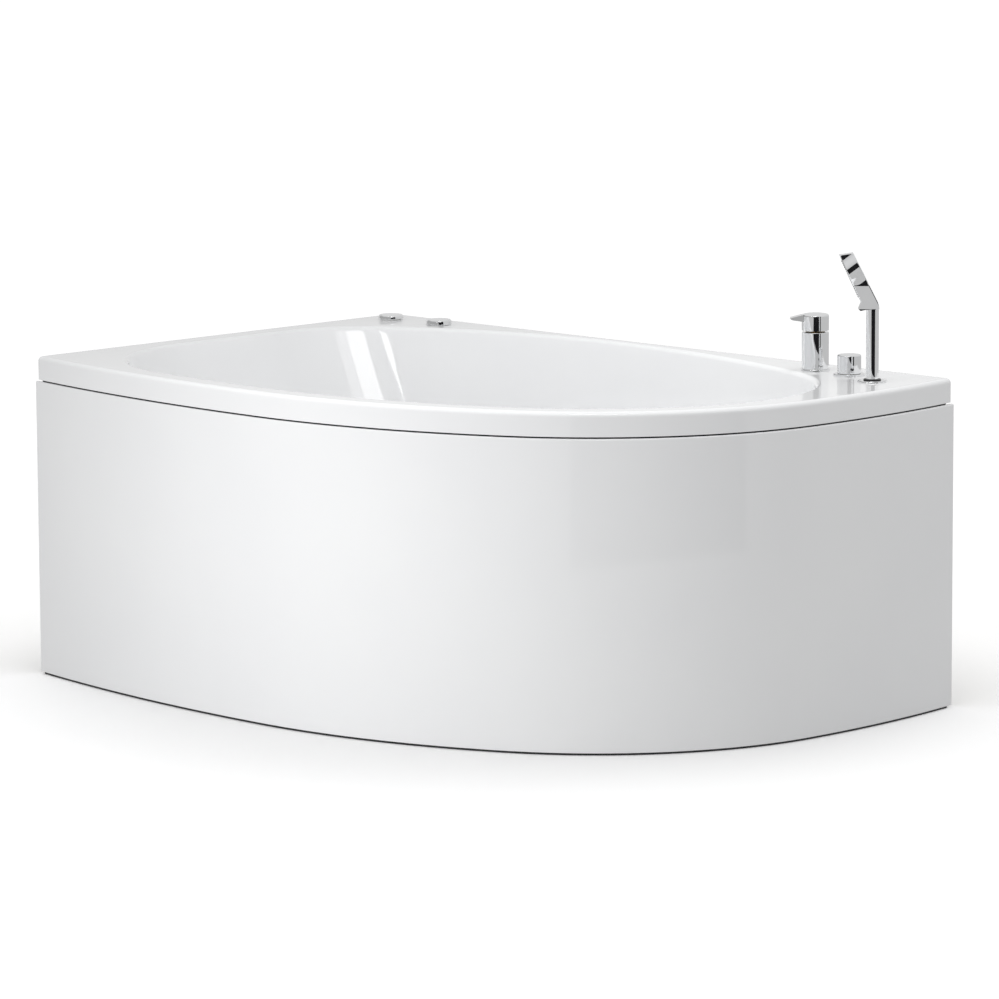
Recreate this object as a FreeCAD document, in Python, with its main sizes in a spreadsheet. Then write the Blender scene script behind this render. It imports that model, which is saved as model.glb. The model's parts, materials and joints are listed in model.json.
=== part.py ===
import FreeCAD, Part
import math
import os
import re
import Sketcher
from FreeCAD import Placement, Rotation, Vector

# Asymmetric corner bath with a bowed one-piece apron, deck taps and an air massage system.
# The plan is drawn from the room corner: "along" runs right, along the back wall, and
# "out" runs from that wall into the room. Finished pieces are shifted so that the origin
# lies on the floor under the middle of the bath. Lengths are millimetres, angles degrees.

SIZES = (
    # plan of the bath
    ("wall_length", "1500", "long side, along the back wall"),
    ("end_length", "950", "short side, along the left wall"),
    ("shoulder_radius", "1177", "front edge where it starts to turn"),
    ("nose_radius", "568", "front edge round the right-hand corner"),
    ("front_heading", "-10.6", "heading of the front edge at the left wall"),
    ("shoulder_heading", "0.8", "heading where the front meets the shoulder"),
    ("nose_heading", "27.1", "heading where the shoulder meets the nose"),
    ("end_heading", "86.2", "heading where the nose meets the end"),
    ("wall_heading", "98.6", "heading of the end where it meets the back wall"),
    # rim
    ("tub_height", "620", "floor to the top of the rim"),
    ("skirt_height", "45", "height of the rim's outer face"),
    ("shell_thickness", "6", "acrylic with its reinforcement"),
    ("corner_radius", "14", "upright corners of the rim in plan"),
    ("rim_edge_radius", "9", "rounded outer edge on top of the rim"),
    ("lip_radius", "11", "rounded edge where the rim turns into the basin"),
    # basin opening and walls
    ("front_rim_width", "52", "rim between the front edge and the basin"),
    ("left_rim_width", "57", "rim between the left wall and the basin"),
    ("back_rim_width", "33", "rim at its narrowest, along the back wall"),
    ("front_left_share", "0.22", "basin corner near the front left, as a share of the wall length"),
    ("back_left_radius", "215", "basin corner near the room corner"),
    ("back_flat_radius", "1709", "flat arc of the basin left of its corner near the taps"),
    ("back_right_heading", "65", "heading where the nose meets that corner"),
    ("back_right_sweep", "20", "turn of the flat arc left of that corner"),
    ("back_left_sweep", "30", "turn of the flat arc right of the room corner"),
    ("floor_height", "180", "basin floor above the ground"),
    ("side_slope", "10", "lean of the basin's sides"),
    ("backrest_share", "0.156", "run of the backrest, as a share of the wall length"),
    ("backrest_hollow", "0.45", "share of the backrest's run in its upper half"),
    ("floor_fillet", "70", "bend between the basin's walls and its floor"),
    # apron
    ("apron_gap", "3", "open joint under the rim"),
    ("apron_lift", "4", "joint above the floor"),
    ("apron_proud", "2", "apron face in front of the rim face"),
    ("apron_thickness", "5", "apron panel"),
    ("apron_edge_radius", "3", "rounded top edge of the apron"),
    # carcass
    ("board_thickness", "16", "board bonded under the basin floor"),
    ("rail_size", "30", "square tube of the frame"),
    ("rail_wall", "2", "wall of that tube"),
    ("left_rail_along", "300", "left cross rail from the left wall"),
    ("rail_past_drain", "125.4", "right cross rail past the drain"),
    ("back_rail_share", "0.3158", "back long rail from the back wall, as a share of the end length"),
    ("front_rail_share", "0.6842", "front long rail from the back wall, as a share of the end length"),
    ("cross_rail_start", "150", "cross rails from the back wall"),
    ("post_offset", "26", "middle of a post behind the rim's front edge"),
    ("rail_overhang", "10", "cross rails past the middle of their posts"),
    ("bolt_radius", "4", "bolts that join the rails"),
    ("bolt_head_radius", "7.5", "heads of those bolts"),
    ("bolt_head_height", "5.5", "heads of those bolts"),
    ("bolt_clearance", "0.3", "radial play of bolts and studs in their holes"),
    ("clip_height", "40", "apron clips on the posts"),
    ("clip_play", "0.5", "gap between a clip and the apron"),
    ("clip_low", "150", "lower clips above the floor"),
    ("clip_drop", "114", "upper clips below the deck"),
    # levelling feet
    ("pad_radius", "25", "foot pad"),
    ("pad_height", "14", "foot pad"),
    ("stud_radius", "6", "threaded stud of a foot"),
    ("stud_in_rail", "23.5", "top of the stud above the underside of its rail"),
    ("foot_inset", "25", "foot from the end of its cross rail"),
    ("lock_nut_radius", "11", "lock nut across its corners, halved"),
    ("lock_nut_height", "10", "lock nut"),
    # wall brackets
    ("bracket_length", "70", "wall bracket"),
    ("bracket_leg", "28", "leg under the rim"),
    ("bracket_drop", "40", "leg on the wall"),
    ("bracket_thickness", "3", "bracket sheet"),
    ("bracket_hole_radius", "3", "screw holes to the wall"),
    ("bracket_hole_spacing", "40", "between the two screw holes"),
    ("back_bracket_left", "330", "left bracket on the back wall, along"),
    ("back_bracket_right", "1020", "right bracket on the back wall, along"),
    ("side_bracket_back", "256.5", "back bracket on the left wall, out"),
    ("side_bracket_front", "798", "front bracket on the left wall, out"),
    # waste
    ("seat_depth", "3", "recess for the strainer in the basin floor"),
    ("seat_radius", "38", "that recess"),
    ("strainer_radius", "35", "flange of the strainer"),
    ("strainer_bore", "22", "water way of the strainer"),
    ("waste_gasket_thickness", "1", "gasket under the strainer"),
    ("strainer_thickness", "2", "flange of the strainer"),
    ("plug_radius", "30", "pop-up plug"),
    ("plug_stem_radius", "3", "stem of the pop-up plug"),
    ("stem_clearance", "0.08", "radial running clearance of stems and spindles"),
    ("seat_play", "0.3", "gap under a piece that rests on its seat"),
    ("waste_neck_radius", "30", "neck under the basin floor"),
    ("waste_neck_length", "42", "neck under the basin floor"),
    ("trap_gasket_thickness", "2", "gasket between neck and trap"),
    ("trap_radius", "48", "pot of the trap"),
    ("trap_height", "76", "pot of the trap"),
    ("trap_wall", "3", "wall of the trap"),
    ("outlet_radius", "20", "outlet pipe outside"),
    ("outlet_wall", "2", "wall of the outlet pipe"),
    ("outlet_socket", "24", "trap socket outside"),
    ("outlet_from_wall", "30", "end of the outlet pipe from the back wall"),
    ("spigot_radius", "19.5", "spigot at the end of the outlet pipe"),
    ("spigot_length", "40", "spigot at the end of the outlet pipe"),
    ("overflow_pipe_radius", "14", "overflow pipe outside"),
    ("overflow_drop", "75", "overflow below the rim"),
    ("overflow_hole_radius", "27", "hole in the basin wall"),
    ("overflow_knob_radius", "34", "turning cover of the overflow"),
    ("overflow_body_radius", "34", "overflow housing"),
    ("overflow_body_depth", "38", "overflow housing"),
    # taps on the deck
    ("mixer_from_end", "260", "mixer from the end of the back wall"),
    ("mixer_from_wall", "92", "mixer from the back wall"),
    ("diverter_from_end", "167", "diverter from the end of the back wall"),
    ("diverter_from_wall", "101", "diverter from the back wall"),
    ("handset_from_end", "75", "handset from the end of the back wall"),
    ("handset_from_wall", "141", "handset from the back wall"),
    ("tap_heading", "225", "way that the lever and the handset point"),
    ("shank_radius", "18", "threaded shank of a tap through the deck"),
    ("shank_play", "1", "radial play of a shank in the deck"),
    ("nut_height", "8", "nut under the deck"),
    ("nut_width", "9", "wall of a nut under the deck"),
    ("thread_play", "0.1", "radial gap between a nut and its shank"),
    ("mixer_base_radius", "27", "ring under the mixer"),
    ("mixer_base_height", "4", "ring under the mixer"),
    ("mixer_radius", "25.5", "body and lever head of the mixer"),
    ("mixer_height", "73", "top of the mixer's body above the deck"),
    ("mixer_shank", "75", "shank of the mixer below the deck"),
    ("cartridge_radius", "17.7", "ceramic cartridge"),
    ("cartridge_seat", "30", "seat of the cartridge above the deck"),
    ("cartridge_height", "38", "ceramic cartridge"),
    ("rotor_radius", "8", "turning spindle of the cartridge"),
    ("groove_height", "3", "dark groove between body and lever head"),
    ("lever_head_height", "32.6", "lever head"),
    ("lever_wall", "2.5", "wall of the lever head"),
    ("lever_reach", "47.5", "tip of the lever from the mixer's axis"),
    ("lever_width", "24", "width of the lever's tongue"),
    ("lever_pin_back", "18", "lever's pivot behind the mixer's axis"),
    ("lever_pin_rise", "6", "lever's pivot above the bottom of the head"),
    ("lever_pin_radius", "2", "lever's pivot pin"),
    ("supply_radius", "5", "copper supply tails"),
    ("supply_length", "60", "copper supply tails"),
    ("supply_collar", "20", "crimped collar at the top of a supply tail"),
    ("supply_spacing", "20", "between the supply tails"),
    ("link_pipe_radius", "7.5", "pipe between mixer and diverter"),
    ("link_boss_radius", "9", "side ports of mixer and diverter"),
    ("link_depth", "62", "side ports below the deck"),
    ("diverter_flange_radius", "29.5", "plate under the diverter knob"),
    ("diverter_flange_height", "3.5", "plate under the diverter knob"),
    ("diverter_knob_radius", "22.25", "diverter knob"),
    ("diverter_knob_height", "35", "diverter knob"),
    ("diverter_shank", "74", "diverter valve below the deck"),
    ("spindle_radius", "6", "spindle of a turning knob"),
    ("spindle_length", "24", "spindle of a turning knob"),
    ("hose_thread_radius", "10.48", "half-inch thread of the shower hose"),
    ("hose_thread_length", "16", "free length of that thread"),
    ("handset_flange_radius", "27", "plate round the handset"),
    ("handset_flange_height", "3", "plate round the handset"),
    ("handset_sleeve_length", "68", "sleeve below the deck"),
    ("guide_wall", "2.2", "wall of the plastic guide"),
    ("handset_radius", "11.8", "round stem of the handset"),
    ("handset_stem_top", "142", "top of the round stem above the deck"),
    ("handset_stem_low", "50", "bottom of the round stem below the deck"),
    ("handset_blade_width", "24", "blade of the handset seen from the tub"),
    ("spray_thickness", "2", "spray plate of the handset"),
    # air controls on the deck
    ("switch_along", "76", "air switch from the left wall"),
    ("switch_out", "79", "air switch from the back wall"),
    ("regulator_share", "0.138", "air regulator from the left wall, as a share of the wall length"),
    ("regulator_out", "71", "air regulator from the back wall"),
    ("control_radius", "25.5", "foot of both air controls"),
    ("control_top_radius", "23", "top of both air controls"),
    ("control_height", "11.5", "both air controls above the deck"),
    ("switch_travel", "3", "stroke of the air switch"),
    ("control_shank_radius", "15", "shank of both air controls"),
    ("control_shank", "40", "shank of both air controls below the deck"),
    # air system under the basin
    ("duct_start", "430", "air duct from the left wall"),
    ("duct_to_drain", "154.6", "end of the air duct from the drain"),
    ("duct_share", "0.5714", "width of the air duct, as a share of the way between the long rails"),
    ("duct_height", "34", "air duct"),
    ("duct_wall", "3", "wall of the air duct"),
    ("duct_behind", "10", "middle of the air duct behind the middle of the long rails"),
    ("nozzle_rows", "2", "rows of air nozzles"),
    ("nozzles_per_row", "5", "air nozzles in a row"),
    ("nozzle_from_end", "35", "outer air nozzles from the ends of the duct"),
    ("nozzle_row_share", "0.7", "between the rows, as a share of the duct's width"),
    ("nozzle_cap_radius", "10", "air nozzle on the basin floor"),
    ("nozzle_cap_height", "2.5", "air nozzle on the basin floor"),
    ("nozzle_stem_radius", "6", "air nozzle through the floor"),
    ("nozzle_bore", "3", "air way of a nozzle"),
    ("air_hose_radius", "14", "air hose outside"),
    ("air_hose_wall", "3", "wall of the air hose"),
    ("air_hose_drop", "14.5", "middle of the air hose below the board"),
    ("blower_radius", "60", "blower housing"),
    ("blower_length", "150", "blower housing"),
    ("blower_along", "25", "blower from the left wall"),
    ("blower_behind_rail", "80", "middle of the blower behind the front long rail"),
    ("blower_foot", "4", "blower above its tray"),
    ("tray_thickness", "3", "tray of the blower"),
    ("tray_width", "100", "tray of the blower"),
    ("pilot_radius", "4", "pilot tubes of the two air controls"),
    ("pilot_wall", "1", "wall of the pilot tubes"),
)

doc = FreeCAD.newDocument("corner_bath")


def fill_sheet():
    """Put every size into the sheet, one row each: meaning, number, alias."""
    table = doc.addObject("Spreadsheet::Sheet", "sizes")
    for row, (alias, number, meaning) in enumerate(SIZES, start=1):
        table.set("A%d" % row, meaning)
        table.set("B%d" % row, number)
        table.setAlias("B%d" % row, alias)
    doc.recompute()
    return table


class Reader:
    """Reads a size from the sheet by its alias."""

    def __init__(self, table):
        self.table = table

    def __getattr__(self, alias):
        return float(self.table.get(alias))


s = Reader(fill_sheet())
ALIASES = {alias for alias, number, meaning in SIZES}
parts = []


# ---------------------------------------------------------------- layout in plan

def unit(heading):
    """Direction in plan that points right of a given heading: out of a left-turning arc."""
    angle = math.radians(heading)
    return Vector(math.sin(angle), -math.cos(angle), 0)


def step(start, end):
    """Travel along and across of a unit arc that turns left between two headings."""
    a, b = math.radians(start), math.radians(end)
    return math.sin(b) - math.sin(a), math.cos(a) - math.cos(b)


class Arc:
    """Left-turning arc in plan between two headings."""

    def __init__(self, centre, radius, start, end):
        self.centre, self.radius, self.start, self.end = centre, radius, start, end

    def point(self, heading, inset=0.0):
        return self.centre + unit(heading) * (self.radius - inset)

    def edge(self, z, inset=0.0):
        middle = (self.start + self.end) / 2
        spots = [self.point(at, inset) + Vector(0, 0, z) for at in (self.start, middle, self.end)]
        return Part.Arc(*spots).toShape()


def front_edge():
    """Four tangent arcs from the left wall to the back wall.

    The front and the end radius follow from the two wall lengths.
    """
    headings = [s.front_heading, s.shoulder_heading, s.nose_heading, s.end_heading, s.wall_heading]
    spans = [step(a, b) for a, b in zip(headings[:-1], headings[1:])]
    along = s.wall_length - s.shoulder_radius * spans[1][0] - s.nose_radius * spans[2][0]
    across = s.end_length - s.shoulder_radius * spans[1][1] - s.nose_radius * spans[2][1]
    first, last = spans[0], spans[3]
    scale = first[0] * last[1] - last[0] * first[1]
    front_radius = (along * last[1] - last[0] * across) / scale
    end_radius = (first[0] * across - first[1] * along) / scale
    radii = [front_radius, s.shoulder_radius, s.nose_radius, end_radius]
    arcs = []
    place = Vector(0, -s.end_length, 0)
    for radius, start, end in zip(radii, headings[:-1], headings[1:]):
        centre = place - unit(start) * radius
        arcs.append(Arc(centre, radius, start, end))
        place = arcs[-1].point(end)
    return arcs


FRONT, SHOULDER, NOSE, END = front_edge()


def tap_radius():
    """Radius of the basin's corner near the taps, which joins the nose to the flat arc."""
    join, turn = s.back_right_heading, 180 - s.back_right_sweep
    start = NOSE.centre.y + unit(join).y * (s.nose_radius - s.front_rim_width)
    rise = -s.back_rim_width - s.back_flat_radius * step(turn, 180)[1] - start
    return rise / (unit(turn).y - unit(join).y)


TAP_RADIUS = tap_radius()


def tap_corner():
    """Centre of the basin's corner near the taps, which the drain shares."""
    offset = s.nose_radius - s.front_rim_width - TAP_RADIUS
    return NOSE.centre + unit(s.back_right_heading) * offset


def basin_loop(side, head, z):
    """Closed plan of the basin: side is its inset all round, head that of the backrest."""
    rim = s.front_rim_width + side
    left = s.left_rim_width + head
    back = -s.back_rim_width - side
    join, turn, far = s.back_right_heading, 180 - s.back_right_sweep, 180 + s.back_left_sweep
    centre = tap_corner()
    tap_arc = Arc(centre, TAP_RADIUS - side, join, turn)
    place = tap_arc.point(turn)
    radius = (back - place.y) / step(turn, 180)[1]
    right_arc = Arc(place - unit(turn) * radius, radius, turn, 180)
    middle = right_arc.centre.x
    radius = (left - middle - s.back_left_radius * step(far, 270)[0]) / step(180, far)[0]
    left_arc = Arc(Vector(middle, back - radius, 0), radius, 180, far)
    corner = Arc(left_arc.point(far) - unit(far) * s.back_left_radius, s.back_left_radius, far, 270)
    front_radius = FRONT.radius - rim
    corner_radius = s.wall_length * s.front_left_share - side
    x = left + corner_radius
    drop = math.sqrt((front_radius - corner_radius) ** 2 - (x - FRONT.centre.x) ** 2)
    near_centre = Vector(x, FRONT.centre.y - drop, 0)
    away = near_centre - FRONT.centre
    meet = math.degrees(math.atan2(away.x, -away.y))
    near = Arc(near_centre, corner_radius, -90, meet)
    arcs = [near, Arc(FRONT.centre, front_radius, meet, FRONT.end),
            Arc(SHOULDER.centre, SHOULDER.radius - rim, SHOULDER.start, SHOULDER.end),
            Arc(NOSE.centre, NOSE.radius - rim, NOSE.start, join), tap_arc, right_arc, left_arc, corner]
    rise = Vector(0, 0, z)
    edges = [arc.edge(z) for arc in arcs]
    edges.append(Part.LineSegment(corner.point(270) + rise, near.point(-90) + rise).toShape())
    return Part.Wire(edges)


FLOOR = s.floor_height
SIDE_RUN = (s.tub_height - FLOOR) * math.tan(math.radians(s.side_slope))
HEAD_RUN = s.wall_length * s.backrest_share
BOARD_TOP = FLOOR - s.shell_thickness
BOARD_BOTTOM = BOARD_TOP - s.board_thickness
CROSS_TOP = BOARD_BOTTOM - s.rail_size
CROSS_BOTTOM = CROSS_TOP - s.rail_size
DECK_UNDER = s.tub_height - s.shell_thickness
APRON_TOP = s.tub_height - s.skirt_height - s.apron_gap
RIGHT_RAIL = tap_corner().x + s.rail_past_drain
BACK_RAIL = s.end_length * s.back_rail_share
FRONT_RAIL = s.end_length * s.front_rail_share
DUCT_LENGTH = tap_corner().x - s.duct_to_drain - s.duct_start
DUCT_WIDTH = (FRONT_RAIL - BACK_RAIL) * s.duct_share
DUCT_OUT = (FRONT_RAIL + BACK_RAIL) / 2 - s.duct_behind
BLOWER_OUT = FRONT_RAIL - s.blower_behind_rail

REACH = END.point(90).x + s.apron_proud
DEPTH = -FRONT.point(0).y + s.apron_proud
MIDDLE = Vector(REACH / 2, -DEPTH / 2, 0)


def at(along, out, z):
    """Place in the finished frame of a spot given from the room corner."""
    return Vector(along, -out, z) - MIDDLE


# ---------------------------------------------------------------- building blocks

def bound(text):
    """Expression with the sheet's name put in front of each alias."""
    def swap(match):
        word = match.group(0)
        return "sizes." + word if word in ALIASES else word
    return re.sub(r"[A-Za-z_][A-Za-z_0-9]*", swap, str(text))


def bind(thing, prop, value):
    """Set a property to a number, or bind it to the sheet."""
    if isinstance(value, str):
        thing.setExpression(prop, bound(value))
    else:
        setattr(thing, prop, value)


def origin_plane(body, role):
    """One of the three planes of a body's own origin."""
    for feature in body.Origin.OriginFeatures:
        if feature.Role == role:
            return feature
    raise ValueError(role)


def new_sketch(body, name, role):
    """Sketch on one of the body's own planes."""
    sketch = body.newObject("Sketcher::SketchObject", name)
    sketch.AttachmentSupport = [(origin_plane(body, role), "")]
    sketch.MapMode = "FlatFace"
    return sketch


def polygon(sketch, corners):
    """Closed outline whose corners are bound to the sheet, as pairs of expressions."""
    count = len(corners)
    spots = []
    for index in range(count):
        angle = 2 * math.pi * index / count
        spots.append(Vector(60 + 20 * math.cos(angle), 60 + 20 * math.sin(angle), 0))
    for index in range(count):
        sketch.addGeometry(Part.LineSegment(spots[index], spots[(index + 1) % count]), False)
    for index in range(count):
        following = (index + 1) % count
        sketch.addConstraint(Sketcher.Constraint("Coincident", index, 2, following, 1))
    for index, (x, y) in enumerate(corners):
        for kind, axis, value, start in (("DistanceX", -2, x, spots[index].x),
                                         ("DistanceY", -1, y, spots[index].y)):
            if value == "0":
                sketch.addConstraint(Sketcher.Constraint("PointOnObject", index, 1, axis))
                continue
            number = sketch.addConstraint(Sketcher.Constraint(kind, -1, 1, index, 1, start))
            name = "%s%d" % (kind[-1].lower(), index)
            sketch.renameConstraint(number, name)
            sketch.setExpression("Constraints." + name, bound(value))


def keep(thing, place, rotation=None):
    """Place a finished sub-part and list it for export."""
    thing.Placement = Placement(place, rotation or Rotation())
    parts.append(thing)
    return thing


def turned(label, profile):
    """Round piece: the closed half profile (radius, height) spun about its own Z axis."""
    body = doc.addObject("PartDesign::Body", label)
    sketch = new_sketch(body, label + "_profile", "XZ_Plane")
    polygon(sketch, profile)
    spin = body.newObject("PartDesign::Revolution", label + "_spin")
    spin.Profile = sketch
    spin.ReferenceAxis = (sketch, ["V_Axis"])
    spin.Angle = 360
    body.Tip = spin
    return body


def ring(label, inner, outer, low, high):
    """Plain ring between two heights."""
    return turned(label, [(inner, low), (outer, low), (outer, high), (inner, high)])


def level(z, tolerance=0.01):
    """Picks edges that lie flat at one height of the piece's own frame."""
    def pick(edge):
        box = edge.BoundBox
        return abs(box.ZMin - z) < tolerance and abs(box.ZMax - z) < tolerance
    return pick


def block(name, length, width, height, base, rotation=None):
    """Box whose base point is given in its owner's frame."""
    thing = doc.addObject("Part::Box", name)
    bind(thing, "Length", length)
    bind(thing, "Width", width)
    bind(thing, "Height", height)
    thing.Placement = Placement(base, rotation or Rotation())
    return thing


def rod(name, radius, height, base, rotation=None):
    """Cylinder that starts at a base point and rises along its turned Z axis."""
    thing = doc.addObject("Part::Cylinder", name)
    bind(thing, "Radius", radius)
    bind(thing, "Height", height)
    thing.Placement = Placement(base, rotation or Rotation())
    return thing


def cut(label, base, *tools):
    """Base less its tools, as one object."""
    tool = tools[0]
    if len(tools) > 1:
        tool = doc.addObject("Part::MultiFuse", label + "_tools")
        tool.Shapes = list(tools)
    thing = doc.addObject("Part::Cut", label)
    thing.Base = base
    thing.Tool = tool
    return thing


def fuse(label, *shapes):
    """Several shapes joined into one object."""
    thing = doc.addObject("Part::MultiFuse", label)
    thing.Shapes = list(shapes)
    return thing


def made(label, shape):
    """Sub-part whose form is worked out with shape functions."""
    thing = doc.addObject("Part::Feature", label)
    thing.Shape = shape
    return thing


def group(label, master, places):
    """Copies of one small piece at several places, as separate solids of one sub-part."""
    doc.recompute()
    copies = []
    for place in places:
        copy = master.Shape.copy()
        copy.Placement = place
        copies.append(copy)
    return made(label, Part.makeCompound(copies))


def rounded_path(points):
    """Straight runs joined by tangent arcs, each as large as its two runs allow."""
    edges = []
    last = points[0]
    for before, here, after in zip(points[:-2], points[1:-1], points[2:]):
        into = (here - before).normalize()
        away = (after - here).normalize()
        turn = into.getAngle(away)
        shorter = min((here - before).Length, (after - here).Length)
        radius = 0.45 * shorter / math.tan(turn / 2)
        print("   bend radius %.0f" % radius)
        back = radius * math.tan(turn / 2)
        start, end = here - into * back, here + away * back
        inward = (away - into).normalize()
        middle = here + inward * (radius / math.cos(turn / 2) - radius)
        edges.append(Part.LineSegment(last, start).toShape())
        edges.append(Part.Arc(start, middle, end).toShape())
        last = end
    edges.append(Part.LineSegment(last, points[-1]).toShape())
    return Part.Wire(edges)


def swept(path, radius):
    """Solid of a round section along a path."""
    edge = path.Edges[0]
    start = edge.valueAt(edge.FirstParameter)
    way = edge.tangentAt(edge.FirstParameter)
    circle = Part.Wire(Part.makeCircle(radius, start, way))
    return path.makePipeShell([circle], True, False)


def hose(label, points, radius, wall):
    """Hollow tube along a rounded path, and a check of its volume."""
    path = rounded_path(points)
    shape = swept(path, radius).cut(swept(path, radius - wall))
    expected = math.pi * (radius ** 2 - (radius - wall) ** 2) * path.Length
    print("%s: length %.0f, volume %.4f of section times length" % (label, path.Length, shape.Volume / expected))
    return keep(made(label, shape), Vector())


def square_tube(label, length, along_x):
    """Hollow square tube that starts at its own origin, with its section centred below it."""
    turn = Rotation() if along_x else Rotation(Vector(0, 0, 1), -90)
    half = s.rail_size / 2
    outside = block(label + "_outside", length, "rail_size", "rail_size",
                    turn.multVec(Vector(0, -half, -s.rail_size)), turn)
    inside = block(label + "_inside", length, "rail_size - 2 * rail_wall", "rail_size - 2 * rail_wall",
                   turn.multVec(Vector(0, -half + s.rail_wall, -s.rail_size + s.rail_wall)), turn)
    return outside, inside


# ---------------------------------------------------------------- tub shell and apron

def basin_solid(grow):
    """Basin as a solid, grown outwards by the thickness of its wall, with a bent floor edge."""
    half = (s.tub_height + FLOOR) / 2
    sections = [basin_loop(-grow, -grow, s.tub_height),
                basin_loop(SIDE_RUN / 2 - grow, HEAD_RUN * s.backrest_hollow - grow, half),
                basin_loop(SIDE_RUN - grow, HEAD_RUN - grow, FLOOR - grow)]
    solid = Part.makeLoft(sections, True, False)
    lowest = level(FLOOR - grow)
    return solid.makeFillet(s.floor_fillet + grow, [edge for edge in solid.Edges if lowest(edge)])


def rim_face(z):
    """Plan of the whole bath: the bowed front and the two straight wall sides."""
    corner, far, near = Vector(0, 0, z), Vector(s.wall_length, 0, z), Vector(0, -s.end_length, z)
    edges = [arc.edge(z) for arc in (FRONT, SHOULDER, NOSE, END)]
    edges.append(Part.LineSegment(far, corner).toShape())
    edges.append(Part.LineSegment(corner, near).toShape())
    return Part.Face(Part.Wire(edges))


def rim_solid():
    """Down-turned rim: a deck with a skirt on all sides, open below."""
    low = s.tub_height - s.skirt_height
    corners = [Vector(0, 0, 0), Vector(s.wall_length, 0, 0), Vector(0, -s.end_length, 0)]
    slab = rim_face(low).extrude(Vector(0, 0, s.skirt_height))

    def upright(edge):
        middle = edge.valueAt((edge.FirstParameter + edge.LastParameter) / 2)
        flat = Vector(middle.x, middle.y, 0)
        return any((flat - corner).Length < 1 for corner in corners)

    slab = slab.makeFillet(s.corner_radius, [edge for edge in slab.Edges if upright(edge)])
    hollow_face = slab.Faces[0]
    for face in slab.Faces:
        if face.BoundBox.ZMax < low + 0.01:
            hollow_face = face
    hollow = hollow_face.makeOffset2D(-s.shell_thickness).extrude(Vector(0, 0, s.skirt_height - s.shell_thickness))
    top = level(s.tub_height)
    slab = slab.makeFillet(s.rim_edge_radius, [edge for edge in slab.Edges if top(edge)])
    return slab.cut(hollow)


def upright_rod(radius, along, out, low, high):
    """Cylinder in the plan's own frame, as a tool for holes."""
    return Part.makeCylinder(radius, high - low, Vector(along, -out, low))


def nozzle_places():
    """Air nozzles in straight rows over the air duct, as spots in plan."""
    places = []
    pitch = (DUCT_LENGTH - 2 * s.nozzle_from_end) / max(s.nozzles_per_row - 1, 1)
    for row in range(int(s.nozzle_rows)):
        out = DUCT_OUT + (row - (s.nozzle_rows - 1) / 2) * DUCT_WIDTH * s.nozzle_row_share
        for number in range(int(s.nozzles_per_row)):
            reach = (number - (s.nozzles_per_row - 1) / 2) * pitch
            places.append((s.duct_start + DUCT_LENGTH / 2 + reach, out))
    return places


DRAIN = tap_corner()
OVERFLOW_Z = s.tub_height - s.overflow_drop
OVERFLOW_RUN = s.overflow_drop * math.tan(math.radians(s.side_slope))
OVERFLOW = tap_corner() + Vector(TAP_RADIUS - OVERFLOW_RUN, 0, OVERFLOW_Z)
OVERFLOW_AXIS = Vector(-math.cos(math.radians(s.side_slope)), 0, math.sin(math.radians(s.side_slope)))
OVERFLOW_TURN = Rotation(Vector(0, 0, 1), OVERFLOW_AXIS)
MIXER = (s.wall_length - s.mixer_from_end, s.mixer_from_wall)
DIVERTER = (s.wall_length - s.diverter_from_end, s.diverter_from_wall)
HANDSET = (s.wall_length - s.handset_from_end, s.handset_from_wall)
SWITCH = (s.switch_along, s.switch_out)
REGULATOR = (s.wall_length * s.regulator_share, s.regulator_out)
SLEEVE_RADIUS = s.handset_radius + s.stem_clearance + s.guide_wall + s.stem_clearance + s.guide_wall


def tub_shell():
    """Acrylic shell: rim, basin and the holes for everything that passes through it."""
    shell = rim_solid().fuse(basin_solid(s.shell_thickness)).cut(basin_solid(0))
    opening = basin_loop(0, 0, s.tub_height)
    top = level(s.tub_height)

    def on_opening(edge):
        middle = edge.valueAt((edge.FirstParameter + edge.LastParameter) / 2)
        return top(edge) and opening.distToShape(Part.Vertex(middle))[0] < 0.5

    shell = shell.makeFillet(s.lip_radius, [edge for edge in shell.Edges if on_opening(edge)])
    deck = (DECK_UNDER - 1, s.tub_height + 1)
    holes = [upright_rod(s.shank_radius + s.shank_play, *MIXER, *deck),
             upright_rod(s.shank_radius + s.shank_play, *DIVERTER, *deck),
             upright_rod(SLEEVE_RADIUS + s.shank_play, *HANDSET, *deck),
             upright_rod(s.control_shank_radius + s.shank_play, *SWITCH, *deck),
             upright_rod(s.control_shank_radius + s.shank_play, *REGULATOR, *deck),
             upright_rod(s.strainer_bore + 4, DRAIN.x, -DRAIN.y, BOARD_TOP - 1, FLOOR + 1),
             upright_rod(s.seat_radius, DRAIN.x, -DRAIN.y, FLOOR - s.seat_depth, FLOOR + 1),
             Part.makeCylinder(s.overflow_hole_radius, 4 * s.shell_thickness,
                               OVERFLOW - OVERFLOW_AXIS * 3 * s.shell_thickness, OVERFLOW_AXIS)]
    for along, out in nozzle_places():
        holes.append(upright_rod(s.nozzle_stem_radius + s.seat_play, along, out, BOARD_TOP - 1, FLOOR + 1))
    keep(made("tub_shell", shell.cut(holes)), at(0, 0, 0))


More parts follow.
